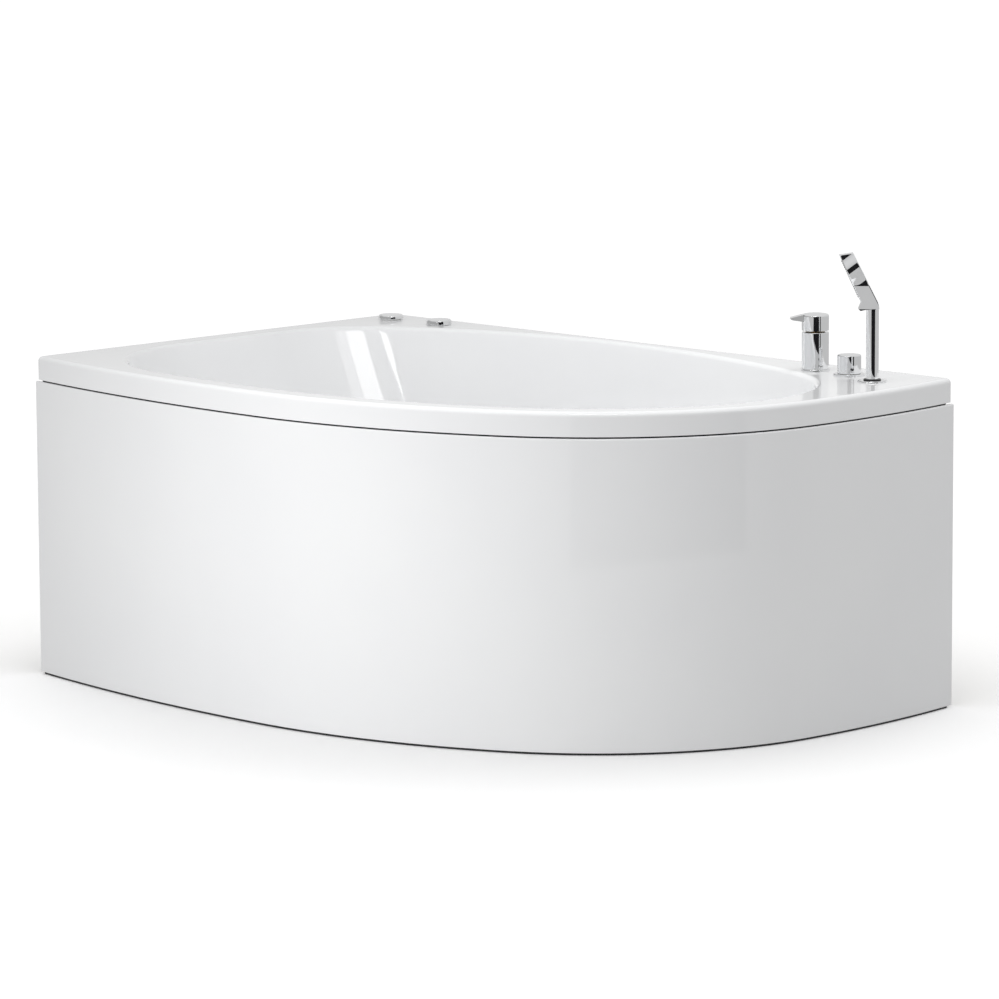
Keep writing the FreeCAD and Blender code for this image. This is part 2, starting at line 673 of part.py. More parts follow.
def apron_panel():
    """Bowed apron in one piece from the left wall to the back wall."""
    outside, inside = -s.apron_proud, s.apron_thickness - s.apron_proud
    arcs = (FRONT, SHOULDER, NOSE, END)
    outer = [arc.edge(s.apron_lift, outside) for arc in arcs]
    inner = [arc.edge(s.apron_lift, inside) for arc in arcs]
    rise = Vector(0, 0, s.apron_lift)
    ends = []
    for arc, heading in ((FRONT, s.front_heading), (END, s.wall_heading)):
        ends.append(Part.LineSegment(arc.point(heading, outside) + rise, arc.point(heading, inside) + rise).toShape())
    face = Part.Face(Part.Wire(Part.__sortEdges__(outer + inner + ends)))
    panel = face.extrude(Vector(0, 0, APRON_TOP - s.apron_lift))
    room = Part.makeBox(2 * REACH, 2 * DEPTH, s.tub_height, Vector(0, -2 * DEPTH, 0))
    panel = panel.common(room)
    rim = level(APRON_TOP)

    def outer_top(edge):
        middle = edge.valueAt((edge.FirstParameter + edge.LastParameter) / 2)
        flats = [math.hypot(middle.x - arc.centre.x, middle.y - arc.centre.y) - arc.radius for arc in arcs]
        return rim(edge) and min(abs(flat - s.apron_proud) for flat in flats) < 0.05 and edge.Length > 50

    panel = panel.makeFillet(s.apron_edge_radius, [edge for edge in panel.Edges if outer_top(edge)])
    keep(made("front_apron", panel), at(0, 0, 0))


def base_board():
    """Board bonded under the flat of the basin floor, cut out round the waste and the nozzles."""
    bend = s.floor_fillet
    loop = basin_loop(SIDE_RUN + bend, HEAD_RUN + bend, BOARD_BOTTOM)
    board = Part.Face(loop).extrude(Vector(0, 0, s.board_thickness))
    board = board.cut(upright_rod(s.trap_radius + 12, DRAIN.x, -DRAIN.y, BOARD_BOTTOM - 1, BOARD_TOP + 1))
    for along, out in nozzle_places():
        hole = upright_rod(s.nozzle_stem_radius + s.seat_play, along, out, BOARD_BOTTOM - 1, BOARD_TOP + 1)
        board = board.cut(hole)
    keep(made("base_board", board), at(0, 0, 0))


tub_shell()
apron_panel()
base_board()

# ---------------------------------------------------------------- steel frame


def post_spot(along):
    """Middle of a post behind the front edge, at a distance along the back wall, and its heading."""
    arc = [arc for arc in (FRONT, SHOULDER, NOSE, END) if arc.point(arc.end, s.post_offset).x >= along][0]
    heading = math.degrees(math.asin((along - arc.centre.x) / (arc.radius - s.post_offset)))
    spot = arc.point(heading, s.post_offset)
    return spot, heading


LEFT_POST, LEFT_HEADING = post_spot(s.left_rail_along)
RIGHT_POST, RIGHT_HEADING = post_spot(RIGHT_RAIL)
POSTS = (("frame_post_left", LEFT_POST, LEFT_HEADING), ("frame_post_right", RIGHT_POST, RIGHT_HEADING))
LEFT_RAIL_END = -LEFT_POST.y + s.rail_overhang
RIGHT_RAIL_END = -RIGHT_POST.y + s.rail_overhang
FEET = (("back_left", s.left_rail_along, s.cross_rail_start + s.foot_inset),
        ("front_left", s.left_rail_along, LEFT_RAIL_END - s.foot_inset - s.rail_overhang),
        ("back_right", RIGHT_RAIL, s.cross_rail_start + s.foot_inset),
        ("front_right", RIGHT_RAIL, RIGHT_RAIL_END - s.foot_inset - s.rail_overhang))
RAIL_CROSSINGS = [(along, out) for along in (s.left_rail_along, RIGHT_RAIL)
                  for out in (BACK_RAIL, FRONT_RAIL)]


def frame_rail(label, length, spot, along_x, stud_holes, bolt_holes, bolt_depth):
    """Rail with holes in its underside for studs, and for bolts through as many walls as needed."""
    outside, inside = square_tube(label, length, along_x)
    tools = [inside]
    for number, (along, out) in enumerate(stud_holes):
        spot_in_rail = Vector(along - spot[0], spot[1] - out, -s.rail_size - 1)
        tools.append(rod("%s_stud_hole_%d" % (label, number), "stud_radius + bolt_clearance",
                         "rail_wall + 2", spot_in_rail))
    for number, (along, out) in enumerate(bolt_holes):
        spot_in_rail = Vector(along - spot[0], spot[1] - out, -s.rail_size - 1)
        tools.append(rod("%s_bolt_hole_%d" % (label, number), "bolt_radius + bolt_clearance",
                         bolt_depth, spot_in_rail))
    keep(cut(label, outside, *tools), at(*spot))


def steel_frame():
    """Two cross rails on feet, two long rails under the board and a post at each front end."""
    left, right = s.left_rail_along, RIGHT_RAIL
    half = s.rail_size / 2
    spots = {name: (along, out) for name, along, out in FEET}
    frame_rail("frame_cross_rail_left", LEFT_RAIL_END - s.cross_rail_start, (left, s.cross_rail_start, CROSS_TOP),
               False, [spots["back_left"], spots["front_left"]], RAIL_CROSSINGS[:2], "rail_size + 2")
    frame_rail("frame_cross_rail_right", RIGHT_RAIL_END - s.cross_rail_start, (right, s.cross_rail_start, CROSS_TOP),
               False, [spots["back_right"], spots["front_right"]], RAIL_CROSSINGS[2:], "rail_size + 2")
    for label, out in (("frame_long_rail_back", BACK_RAIL), ("frame_long_rail_front", FRONT_RAIL)):
        crossings = [spot for spot in RAIL_CROSSINGS if spot[1] == out]
        frame_rail(label, right - left + s.rail_size, (left - half, out, BOARD_BOTTOM),
                   True, [], crossings, "rail_wall + 2")
    for label, spot, heading in POSTS:
        height = DECK_UNDER - CROSS_TOP
        wide = "rail_size"
        outside = block(label + "_outside", wide, wide, height, Vector(-half, -half, 0))
        narrow = "rail_size - 2 * rail_wall"
        inside = block(label + "_inside", narrow, narrow, height, Vector(s.rail_wall - half, s.rail_wall - half, 0))
        place = at(spot.x, -spot.y, CROSS_TOP)
        keep(cut(label, outside, inside), place, Rotation(Vector(0, 0, 1), heading))


STUD_TOP = "floor_height - shell_thickness - board_thickness - 2 * rail_size + stud_in_rail"


def levelling_feet():
    """Studs in rubber pads, which screw in and out of the rails, and their lock nuts."""
    for name, along, out in FEET:
        pad = turned("foot_pad_" + name, [("0", "0"), ("pad_radius", "0"), ("pad_radius", "pad_height / 2"),
                                          ("pad_radius - 6", "pad_height"), ("0", "pad_height")])
        keep(pad, at(along, out, 0))
        stud = turned("foot_stud_" + name, [("0", "pad_height"), ("stud_radius", "pad_height"),
                                            ("stud_radius", STUD_TOP + " - 1"), ("stud_radius - 1", STUD_TOP),
                                            ("0", STUD_TOP)])
        keep(stud, at(along, out, 0))
    nut = doc.addObject("Part::Prism", "lock_nut_blank")
    nut.Polygon = 6
    bind(nut, "Circumradius", "lock_nut_radius")
    bind(nut, "Height", "lock_nut_height")
    bore = rod("lock_nut_bore", "stud_radius + bolt_clearance", "lock_nut_height + 2", Vector(0, 0, -1))
    master = cut("lock_nut_master", nut, bore)
    low = CROSS_BOTTOM - s.lock_nut_height
    places = [Placement(at(along, out, low), Rotation()) for name, along, out in FEET]
    keep(group("foot_lock_nuts", master, places), Vector())


def frame_bolts():
    """Hexagon bolts from below through the cross rails into the long rails."""
    head = doc.addObject("Part::Prism", "frame_bolt_head")
    head.Polygon = 6
    bind(head, "Circumradius", "bolt_head_radius")
    bind(head, "Height", "bolt_head_height")
    shank = rod("frame_bolt_shank", "bolt_radius", "rail_size + 2 * rail_wall + 6", Vector(0, 0, s.bolt_head_height))
    master = fuse("frame_bolt_master", head, shank)
    low = CROSS_BOTTOM - s.bolt_head_height
    places = [Placement(at(along, out, low), Rotation()) for along, out in RAIL_CROSSINGS]
    keep(group("frame_bolts", master, places), Vector())


def apron_clips():
    """Blocks on the posts that the apron hooks on, two on each."""
    gap = s.post_offset - s.rail_size / 2 - (s.apron_thickness - s.apron_proud)
    thickness = gap - s.clip_play
    half = s.rail_size / 2
    master = block("apron_clip_master", "rail_size", thickness, "clip_height", Vector(0, 0, 0))
    places = []
    for label, spot, heading in POSTS:
        turn = Rotation(Vector(0, 0, 1), heading)
        for height in (s.clip_low, DECK_UNDER - s.clip_drop):
            corner = at(spot.x, -spot.y, height) + turn.multVec(Vector(-half, -half - thickness, 0))
            places.append(Placement(corner, turn))
    keep(group("apron_clips", master, places), Vector())


def wall_brackets():
    """Sheet angles screwed to both walls, on which the rim's skirt stands."""
    low = s.tub_height - s.skirt_height
    leg = block("bracket_shelf", "bracket_length", "bracket_leg", "bracket_thickness",
                Vector(-s.bracket_length / 2, -s.bracket_leg, -s.bracket_thickness))
    plate = block("bracket_plate", "bracket_length", "bracket_thickness", "bracket_drop",
                  Vector(-s.bracket_length / 2, -s.bracket_thickness, -s.bracket_drop))
    blank = fuse("bracket_blank", leg, plate)
    lie = Rotation(Vector(1, 0, 0), 90)
    middle = -(s.bracket_drop + s.bracket_thickness) / 2
    holes = []
    for number, side in enumerate((-1, 1)):
        base = Vector(side * s.bracket_hole_spacing / 2, 1, middle)
        holes.append(rod("bracket_hole_%d" % number, "bracket_hole_radius", "bracket_thickness + 2", base, lie))
    master = cut("bracket_master", blank, *holes)
    places = [Placement(at(along, 0, low), Rotation()) for along in (s.back_bracket_left, s.back_bracket_right)]
    turn = Rotation(Vector(0, 0, 1), 90)
    places += [Placement(at(0, out, low), turn) for out in (s.side_bracket_back, s.side_bracket_front)]
    keep(group("wall_brackets", master, places), Vector())


steel_frame()
levelling_feet()
frame_bolts()
apron_clips()
wall_brackets()

# ---------------------------------------------------------------- waste and overflow

SEAT_Z = FLOOR - s.seat_depth
NECK_TOP = "-(shell_thickness - seat_depth)"
TRAP_TOP = BOARD_TOP - s.waste_neck_length
TRAP_LOW = TRAP_TOP - s.trap_height
OUTLET_Z = TRAP_TOP - s.outlet_socket - 8
INLET_Z = TRAP_LOW + s.overflow_pipe_radius + 8
SOCKET_REACH = s.trap_radius + 24
SOCKET_DEPTH = 20
BOSS_WALL = 3
BOSS_PLAY = 0.2
TO_BACK = Rotation(Vector(1, 0, 0), -90)
TO_RIGHT = Rotation(Vector(0, 1, 0), 90)


def drain_strainer():
    """Strainer flange with its tube, and a hub on three spokes that guides the plug's stem."""
    cap = "waste_gasket_thickness + strainer_thickness"
    tube = turned("drain_strainer_ring", [
        ("strainer_bore", "-25"), ("strainer_bore + 2.5", "-25"), ("strainer_bore + 2.5", "waste_gasket_thickness"),
        ("strainer_radius", "waste_gasket_thickness"), ("strainer_radius", cap + " - 1"),
        ("strainer_radius - 1", cap), ("strainer_bore", cap)])
    hub_low, hub_height = -16, 8
    hub = rod("drain_strainer_hub", "plug_stem_radius + 3.5", hub_height, Vector(0, 0, hub_low))
    spokes = []
    for number in range(3):
        turn = Rotation(Vector(0, 0, 1), 120 * number)
        base = turn.multVec(Vector(0, -1.5, hub_low))
        spokes.append(block("drain_strainer_spoke_%d" % number, "strainer_bore + 1", 3, hub_height, base, turn))
    bore = rod("drain_strainer_bore", "plug_stem_radius + stem_clearance", hub_height + 2, Vector(0, 0, hub_low - 1))
    web = fuse("drain_strainer_web", hub, *spokes)
    keep(cut("drain_strainer", fuse("drain_strainer_blank", tube, web), bore), at(DRAIN.x, -DRAIN.y, SEAT_Z))


def drain_plug():
    """Pop-up plug on its stem."""
    low = "waste_gasket_thickness + strainer_thickness + seat_play"
    plug = turned("drain_plug", [
        ("0", "-32"), ("plug_stem_radius", "-32"), ("plug_stem_radius", low), ("plug_radius", low),
        ("plug_radius", low + " + 1.5"), ("plug_radius - 8", low + " + 4.5"), ("0", low + " + 5.5")])
    keep(plug, at(DRAIN.x, -DRAIN.y, SEAT_Z))


def drain_trap():
    """Trap with a socket for the outlet pipe and one for the overflow pipe."""
    pot = rod("drain_trap_pot", "trap_radius", "trap_height", Vector(0, 0, 0))
    inside = rod("drain_trap_inside", "trap_radius - trap_wall", "trap_height - 2 * trap_wall",
                 Vector(0, 0, s.trap_wall))
    mouth = rod("drain_trap_mouth", "strainer_bore + 3", "2 * trap_wall", Vector(0, 0, s.trap_height - s.trap_wall - 1))
    reach = SOCKET_REACH
    out_z, in_z = OUTLET_Z - TRAP_LOW, INLET_Z - TRAP_LOW
    inner = s.trap_radius - s.trap_wall
    socket = rod("drain_trap_socket", "outlet_socket", reach, Vector(0, 0, out_z), TO_BACK)
    inlet = rod("drain_trap_inlet", s.overflow_pipe_radius + BOSS_WALL, reach, Vector(0, 0, in_z), TO_RIGHT)
    socket_bore = rod("drain_trap_socket_bore", s.outlet_radius + BOSS_PLAY, SOCKET_DEPTH + 1,
                      Vector(0, reach - SOCKET_DEPTH, out_z), TO_BACK)
    inlet_bore = rod("drain_trap_inlet_bore", s.overflow_pipe_radius + BOSS_PLAY, SOCKET_DEPTH + 1,
                     Vector(reach - SOCKET_DEPTH, 0, in_z), TO_RIGHT)
    out_way = rod("drain_trap_out_way", "outlet_radius - outlet_wall", reach - inner / 2,
                  Vector(0, inner / 2, out_z), TO_BACK)
    in_way = rod("drain_trap_in_way", "overflow_pipe_radius - outlet_wall", reach - inner / 2,
                 Vector(inner / 2, 0, in_z), TO_RIGHT)
    blank = fuse("drain_trap_blank", pot, socket, inlet)
    trap = cut("drain_trap", blank, inside, mouth, socket_bore, inlet_bore, out_way, in_way)
    keep(trap, at(DRAIN.x, -DRAIN.y, TRAP_LOW))


def outlet_pipe():
    """Pipe from the trap's socket towards the back wall, with a spigot at its end."""
    start = SOCKET_REACH - SOCKET_DEPTH
    length = -DRAIN.y - start - s.outlet_from_wall
    run = rod("outlet_pipe_run", "outlet_radius", length - s.spigot_length, Vector(0, 0, 0))
    spigot = rod("outlet_pipe_spigot", "spigot_radius", length, Vector(0, 0, 0))
    outside = fuse("outlet_pipe_outside", run, spigot)
    inside = rod("outlet_pipe_inside", "outlet_radius - outlet_wall", length + 2, Vector(0, 0, -1))
    keep(cut("outlet_pipe", outside, inside), at(DRAIN.x, -DRAIN.y - start, OUTLET_Z), TO_BACK)


OVERFLOW_BACK = s.shell_thickness + s.seat_play
OVERFLOW_FLANGE = 4
OVERFLOW_MIDDLE = OVERFLOW_BACK + OVERFLOW_FLANGE + s.overflow_body_depth / 2
OVERFLOW_DOWN = OVERFLOW_TURN.multVec(Vector(-1, 0, 0))
PORT_REACH = s.overflow_body_radius + 16
PORT_DEPTH = 12
FILLER_RADIUS = s.link_pipe_radius


def overflow_body():
    """Housing behind the basin wall, with a bearing for the turning cover and two ports.

    One port lets the overflow down to the trap, the other takes the filler pipe.
    """
    low = -OVERFLOW_BACK - OVERFLOW_FLANGE - s.overflow_body_depth
    flange = rod("overflow_flange", "overflow_body_radius", OVERFLOW_FLANGE,
                 Vector(0, 0, -OVERFLOW_BACK - OVERFLOW_FLANGE))
    pot = rod("overflow_pot", "overflow_body_radius - 4", "overflow_body_depth", Vector(0, 0, low))
    neck = rod("overflow_neck", "overflow_hole_radius - 1", OVERFLOW_BACK, Vector(0, 0, -OVERFLOW_BACK))
    depth = -low - 3
    room = rod("overflow_room", "overflow_hole_radius - 4", depth + 1, Vector(0, 0, low + 3))
    bearing = rod("overflow_bearing", "spindle_radius + 3", depth - 2, Vector(0, 0, low + 1))
    bore = rod("overflow_bearing_bore", "spindle_radius + stem_clearance", depth, Vector(0, 0, low + 3))
    down = Rotation(Vector(0, 1, 0), -90)
    middle = -OVERFLOW_MIDDLE
    drop_port = rod("overflow_drop_port", s.overflow_pipe_radius + BOSS_WALL, PORT_REACH,
                    Vector(0, 0, middle), down)
    drop_bore = rod("overflow_drop_bore", s.overflow_pipe_radius + BOSS_PLAY, PORT_DEPTH + 1,
                    Vector(-PORT_REACH + PORT_DEPTH, 0, middle), down)
    drop_way = rod("overflow_drop_way", "overflow_pipe_radius - outlet_wall", PORT_REACH - 20,
                   Vector(-20, 0, middle), down)
    fill_port = rod("overflow_fill_port", FILLER_RADIUS + BOSS_WALL, PORT_REACH, Vector(0, 0, middle), TO_BACK)
    fill_bore = rod("overflow_fill_bore", FILLER_RADIUS + BOSS_PLAY, PORT_DEPTH + 1,
                    Vector(0, PORT_REACH - PORT_DEPTH, middle), TO_BACK)
    fill_way = rod("overflow_fill_way", FILLER_RADIUS - 1.5, PORT_REACH - 20, Vector(0, 20, middle), TO_BACK)
    shell = cut("overflow_shell", fuse("overflow_blank", flange, pot, neck, drop_port, fill_port),
                room, drop_bore, drop_way, fill_bore, fill_way)
    spider = block("overflow_spider", 2 * s.overflow_hole_radius - 6, 3, 8,
                   Vector(3 - s.overflow_hole_radius, -1.5, low + 3))
    body = cut("overflow_body", fuse("overflow_with_bearing", shell, bearing, spider), bore)
    keep(body, at(OVERFLOW.x, -OVERFLOW.y, OVERFLOW_Z), OVERFLOW_TURN)


def overflow_knob():
    """Turning cover over the overflow, with the spindle that works the pop-up waste."""
    knob = turned("overflow_knob", [
        ("0", "-24"), ("spindle_radius", "-24"), ("spindle_radius", "5"), ("overflow_knob_radius", "5"),
        ("overflow_knob_radius", "18"), ("overflow_knob_radius - 3", "21"), ("0", "21")])
    keep(knob, at(OVERFLOW.x, -OVERFLOW.y, OVERFLOW_Z), OVERFLOW_TURN)


def waste_gaskets():
    """Flat ring under the strainer and a thicker one behind the basin wall at the overflow."""
    doc.recompute()
    low = ring("drain_gasket", "strainer_bore + 4", "strainer_radius", "0", "waste_gasket_thickness")
    doc.recompute()
    flat = low.Shape.copy()
    flat.Placement = Placement(at(DRAIN.x, -DRAIN.y, SEAT_Z), Rotation())
    thick = ring("trap_gasket", "strainer_bore + 3", "waste_neck_radius", "0", "trap_gasket_thickness")
    doc.recompute()
    seal = thick.Shape.copy()
    seal.Placement = Placement(at(DRAIN.x, -DRAIN.y, TRAP_TOP), Rotation())
    keep(made("waste_gaskets", Part.makeCompound([flat, seal])), Vector())


def waste():
    """Strainer, plug, neck, nut, trap, pipes and the overflow."""
    drain_strainer()
    drain_plug()
    wide = "waste_neck_radius + 8"
    bore = "strainer_bore + 3"
    low = NECK_TOP + " - waste_neck_length + trap_gasket_thickness"
    neck = turned("drain_neck", [
        (bore, low), ("waste_neck_radius", low), ("waste_neck_radius", NECK_TOP + " - 5"),
        (wide, NECK_TOP + " - 5"), (wide, NECK_TOP), (bore, NECK_TOP)])
    keep(neck, at(DRAIN.x, -DRAIN.y, SEAT_Z))
    nut = ring("trap_nut", "waste_neck_radius + thread_play", "waste_neck_radius + 7", "0", "14")
    keep(nut, at(DRAIN.x, -DRAIN.y, TRAP_TOP))
    drain_trap()
    outlet_pipe()
    overflow_body()
    overflow_knob()
    waste_gaskets()


def overflow_pipe():
    """Pipe from the overflow down along the basin wall and under the cross rail to the trap."""
    middle = OVERFLOW - OVERFLOW_AXIS * OVERFLOW_MIDDLE
    start = middle + OVERFLOW_DOWN * (PORT_REACH - PORT_DEPTH)
    fall = (start.z - INLET_Z) / -OVERFLOW_DOWN.z
    corner = start + OVERFLOW_DOWN * fall
    end = Vector(DRAIN.x + SOCKET_REACH - SOCKET_DEPTH, DRAIN.y, INLET_Z)
    points = [spot - MIDDLE for spot in (start, corner, end)]
    hose("overflow_pipe", points, s.overflow_pipe_radius, s.outlet_wall)


waste()
overflow_pipe()

# ---------------------------------------------------------------- mixer, diverter and handset

LINK = Vector(DIVERTER[0] - MIXER[0], MIXER[1] - DIVERTER[1], 0)
LINK_WAY = Vector(LINK).normalize()
LINK_REACH = s.shank_radius + 14
LINK_BITE = 8
TAP_TURN = Rotation(Vector(0, 0, 1), s.tap_heading)


def port(name, way, length, bore_radius, bore_depth):
    """Side port of a tap below the deck: the boss and the bore that takes the pipe's end."""
    lie = Rotation(Vector(0, 0, 1), way)
    boss = rod(name + "_boss", "link_boss_radius + 1.5", length, Vector(0, 0, -s.link_depth), lie)
    bore = rod(name + "_bore", bore_radius + BOSS_PLAY, bore_depth + 1,
               Vector(0, 0, -s.link_depth) + way * (length - bore_depth), lie)
    return boss, bore


def mixer():
    """Fixed parts of the mixer: base ring, body, cartridge, its nut and the supply tails."""
    base = turned("mixer_base_ring", [
        ("shank_radius + 0.3", "0"), ("mixer_base_radius", "0"), ("mixer_base_radius", "mixer_base_height - 1.5"),
        ("mixer_base_radius - 1", "mixer_base_height"), ("shank_radius + 0.3", "mixer_base_height")])
    keep(base, at(*MIXER, s.tub_height))
    bore = "cartridge_radius + thread_play"
    core = turned("mixer_body_core", [
        ("0", "-mixer_shank"), ("shank_radius", "-mixer_shank"), ("shank_radius", "mixer_base_height"),
        ("mixer_radius", "mixer_base_height"), ("mixer_radius", "mixer_height - 0.8"),
        ("mixer_radius - 0.8", "mixer_height"), (bore, "mixer_height"), (bore, "cartridge_seat"),
        ("0", "cartridge_seat")])
    boss, hole = port("mixer_port", LINK_WAY, LINK_REACH, s.link_pipe_radius, LINK_BITE)
    keep(cut("mixer_body", fuse("mixer_body_blank", core, boss), hole), at(*MIXER, s.tub_height))
    top = "cartridge_seat + cartridge_height"
    eye = "rotor_radius + stem_clearance"
    cartridge = turned("mixer_cartridge", [
        ("0", "cartridge_seat"), ("cartridge_radius", "cartridge_seat"), ("cartridge_radius", top),
        (eye, top), (eye, top + " - 20"), ("0", top + " - 20")])
    keep(cartridge, at(*MIXER, s.tub_height))
    nut = ring("cartridge_nut", "rotor_radius + 2", "cartridge_radius", top, "mixer_height")
    keep(nut, at(*MIXER, s.tub_height))
    tail = turned("supply_tail", [
        ("supply_radius - 1", "-supply_length"), ("supply_radius", "-supply_length"),
        ("supply_radius", "-supply_collar"), ("supply_radius + 1", "-supply_collar"), ("supply_radius + 1", "0"),
        ("supply_radius - 1", "0")])
    half = s.supply_spacing / 2
    places = [Placement(at(MIXER[0] + shift, MIXER[1], s.tub_height - s.mixer_shank), Rotation())
              for shift in (-half, half)]
    keep(group("supply_tails", tail, places), Vector())


PIN_Z = s.mixer_height + s.groove_height + s.lever_pin_rise
EAR_RADIUS = 3.6
EAR_HALF = 7
LUG_WIDTH = 3
PIN_PLAY = 0.05


def mixer_rotor():
    """Spindle that turns in the cartridge, with the ear that carries the lever's pin."""
    low = s.cartridge_seat + s.cartridge_height - 20 + s.seat_play
    spindle = rod("rotor_spindle", "rotor_radius", PIN_Z - low, Vector(0, 0, low))
    across = Rotation(Vector(1, 0, 0), 90)
    ear = block("rotor_ear", s.lever_pin_back + 12, 2 * EAR_HALF, 2 * EAR_RADIUS,
                Vector(-s.lever_pin_back, -EAR_HALF, PIN_Z - EAR_RADIUS))
    knuckle = rod("rotor_knuckle", EAR_RADIUS, 2 * EAR_HALF, Vector(-s.lever_pin_back, EAR_HALF, PIN_Z), across)
    hole = rod("rotor_pin_hole", s.lever_pin_radius + PIN_PLAY, 2 * EAR_HALF + 2,
               Vector(-s.lever_pin_back, EAR_HALF + 1, PIN_Z), across)
    rotor = cut("cartridge_rotor", fuse("rotor_blank", spindle, ear, knuckle), hole)
    keep(rotor, at(*MIXER, s.tub_height), TAP_TURN)
    half = EAR_HALF + 0.3 + LUG_WIDTH
    pin = rod("lever_pin", "lever_pin_radius", 2 * half, Vector(0, 0, 0))
    foot = at(*MIXER, s.tub_height) + TAP_TURN.multVec(Vector(-s.lever_pin_back, half, PIN_Z))
    keep(pin, foot, TAP_TURN.multiply(across))


def mixer_lever():
    """Hollow lever head with a slightly domed top, its tongue and two lugs for the pin."""
    low = s.mixer_height + s.groove_height
    height, radius = s.lever_head_height, s.mixer_radius
    rise, roof, lug_reach = 2.7, 7, 3.8
    foot, wall_top, crown = Vector(radius, 0, low), Vector(radius, 0, low + height - rise), Vector(0, 0, low + height)
    flat = Vector(0, 0, low)
    dome = Part.Arc(wall_top, Vector(0.71 * radius, 0, low + height - rise / 2), crown).toShape()
    edges = [Part.LineSegment(flat, foot).toShape(), Part.LineSegment(foot, wall_top).toShape(), dome,
             Part.LineSegment(crown, flat).toShape()]
    head = Part.Face(Part.Wire(edges)).revolve(Vector(), Vector(0, 0, 1), 360)
    rim = level(low + height - rise)
    head = head.makeFillet(4, [edge for edge in head.Edges if rim(edge)])
    tip = s.lever_reach
    side = [(0.4 * tip, 0.49), (0.9 * tip, 0.6), (tip, 0.66), (tip, 0.72), (0.55 * tip, 0.89), (0.4 * tip, 0.92)]
    corners = [Vector(x, -s.lever_width / 2, low + share * height) for x, share in side]
    tongue = Part.Face(Part.makePolygon(corners + corners[:1])).extrude(Vector(0, s.lever_width, 0))
    tongue = tongue.common(Part.makeCylinder(tip, 2 * height, Vector(0, 0, low)))
    hollow = Part.makeCylinder(radius - s.lever_wall, height - roof, Vector(0, 0, low))
    lever = head.fuse(tongue).cut(hollow)
    for side_way in (-1, 1):
        inner = side_way * (EAR_HALF + 0.3)
        outer = side_way * (EAR_HALF + 0.3 + LUG_WIDTH)
        base = Vector(-s.lever_pin_back - lug_reach, min(inner, outer), PIN_Z - EAR_RADIUS)
        lever = lever.fuse(Part.makeBox(2 * lug_reach, LUG_WIDTH, low + height - roof + 1 - PIN_Z + EAR_RADIUS, base))
    bore = Part.makeCylinder(s.lever_pin_radius + PIN_PLAY, 2 * radius, Vector(-s.lever_pin_back, -radius, PIN_Z),
                             Vector(0, 1, 0))
    guard = Part.makeBox(4 * radius, 2 * (EAR_HALF + 0.3 + LUG_WIDTH), 4 * radius,
                         Vector(-2 * radius, -EAR_HALF - 0.3 - LUG_WIDTH, 0))
    lever = lever.cut(bore.common(guard))
    keep(made("mixer_lever", lever), at(*MIXER, s.tub_height), TAP_TURN)


def filler_turns():
    """Two spots of the filler pipe outside the basin's corner, in plan."""
    away = TAP_RADIUS + 24
    return [tap_corner() + unit(heading) * away for heading in (141, 124)]


def filler_way():
    """Direction in which the filler pipe leaves the diverter."""
    return (filler_turns()[0] - Vector(DIVERTER[0], -DIVERTER[1], 0)).normalize()


def diverter():
    """Plate, valve with its ports and the turning knob that sends water to tub or handset."""
    plate = turned("diverter_flange", [
        ("shank_radius + 0.3", "0"), ("diverter_flange_radius", "0"),
        ("diverter_flange_radius", "diverter_flange_height - 1"),
        ("diverter_flange_radius - 1", "diverter_flange_height"), ("shank_radius + 0.3", "diverter_flange_height")])
    keep(plate, at(*DIVERTER, s.tub_height))
    eye = "spindle_radius + stem_clearance"
    top = "diverter_flange_height"
    core = turned("diverter_core", [
        ("0", "-diverter_shank - hose_thread_length"),
        ("hose_thread_radius", "-diverter_shank - hose_thread_length"), ("hose_thread_radius", "-diverter_shank"),
        ("shank_radius", "-diverter_shank"), ("shank_radius", top), (eye, top),
        (eye, top + " - spindle_length - 2"), ("0", top + " - spindle_length - 2")])
    boss, hole = port("diverter_in", LINK_WAY * -1, LINK_REACH, s.link_pipe_radius, LINK_BITE)
    out_boss, out_hole = port("diverter_out", filler_way(), LINK_REACH, FILLER_RADIUS, LINK_BITE)
    valve = cut("diverter_valve", fuse("diverter_blank", core, boss, out_boss), hole, out_hole)
    keep(valve, at(*DIVERTER, s.tub_height))
    low = top + " + seat_play"
    high = low + " + diverter_knob_height"
    knob = turned("diverter_knob", [
        ("0", top + " - spindle_length"), ("spindle_radius", top + " - spindle_length"), ("spindle_radius", low),
        ("diverter_knob_radius", low), ("diverter_knob_radius", high + " - 1.5"),
        ("diverter_knob_radius - 1.5", high), ("0", high)])
    keep(knob, at(*DIVERTER, s.tub_height))


def link_pipe():
    """Straight pipe from the mixer's port to the diverter's."""
    start = LINK_REACH - LINK_BITE
    length = LINK.Length - 2 * start
    outside = rod("link_pipe_outside", "link_pipe_radius", length, Vector(0, 0, 0))
    inside = rod("link_pipe_inside", "link_pipe_radius - 1.5", length + 2, Vector(0, 0, -1))
    spot = at(*MIXER, s.tub_height - s.link_depth) + LINK_WAY * start
    keep(cut("link_pipe", outside, inside), spot, Rotation(Vector(0, 0, 1), LINK_WAY))


def filler_pipe():
    """Pipe from the diverter round the basin's corner to the filler port of the overflow."""
    z = s.tub_height - s.link_depth
    end = OVERFLOW - OVERFLOW_AXIS * OVERFLOW_MIDDLE
    end = end + Vector(0, PORT_REACH - PORT_DEPTH, 0)
    start = Vector(DIVERTER[0], -DIVERTER[1], z) + filler_way() * (LINK_REACH - LINK_BITE)
    near, far = filler_turns()
    points = [start, near + Vector(0, 0, z), far + Vector(0, 0, (z + end.z) / 2), end + Vector(0, 75, 0), end]
    hose("filler_pipe", [spot - MIDDLE for spot in points], FILLER_RADIUS, 1.5)


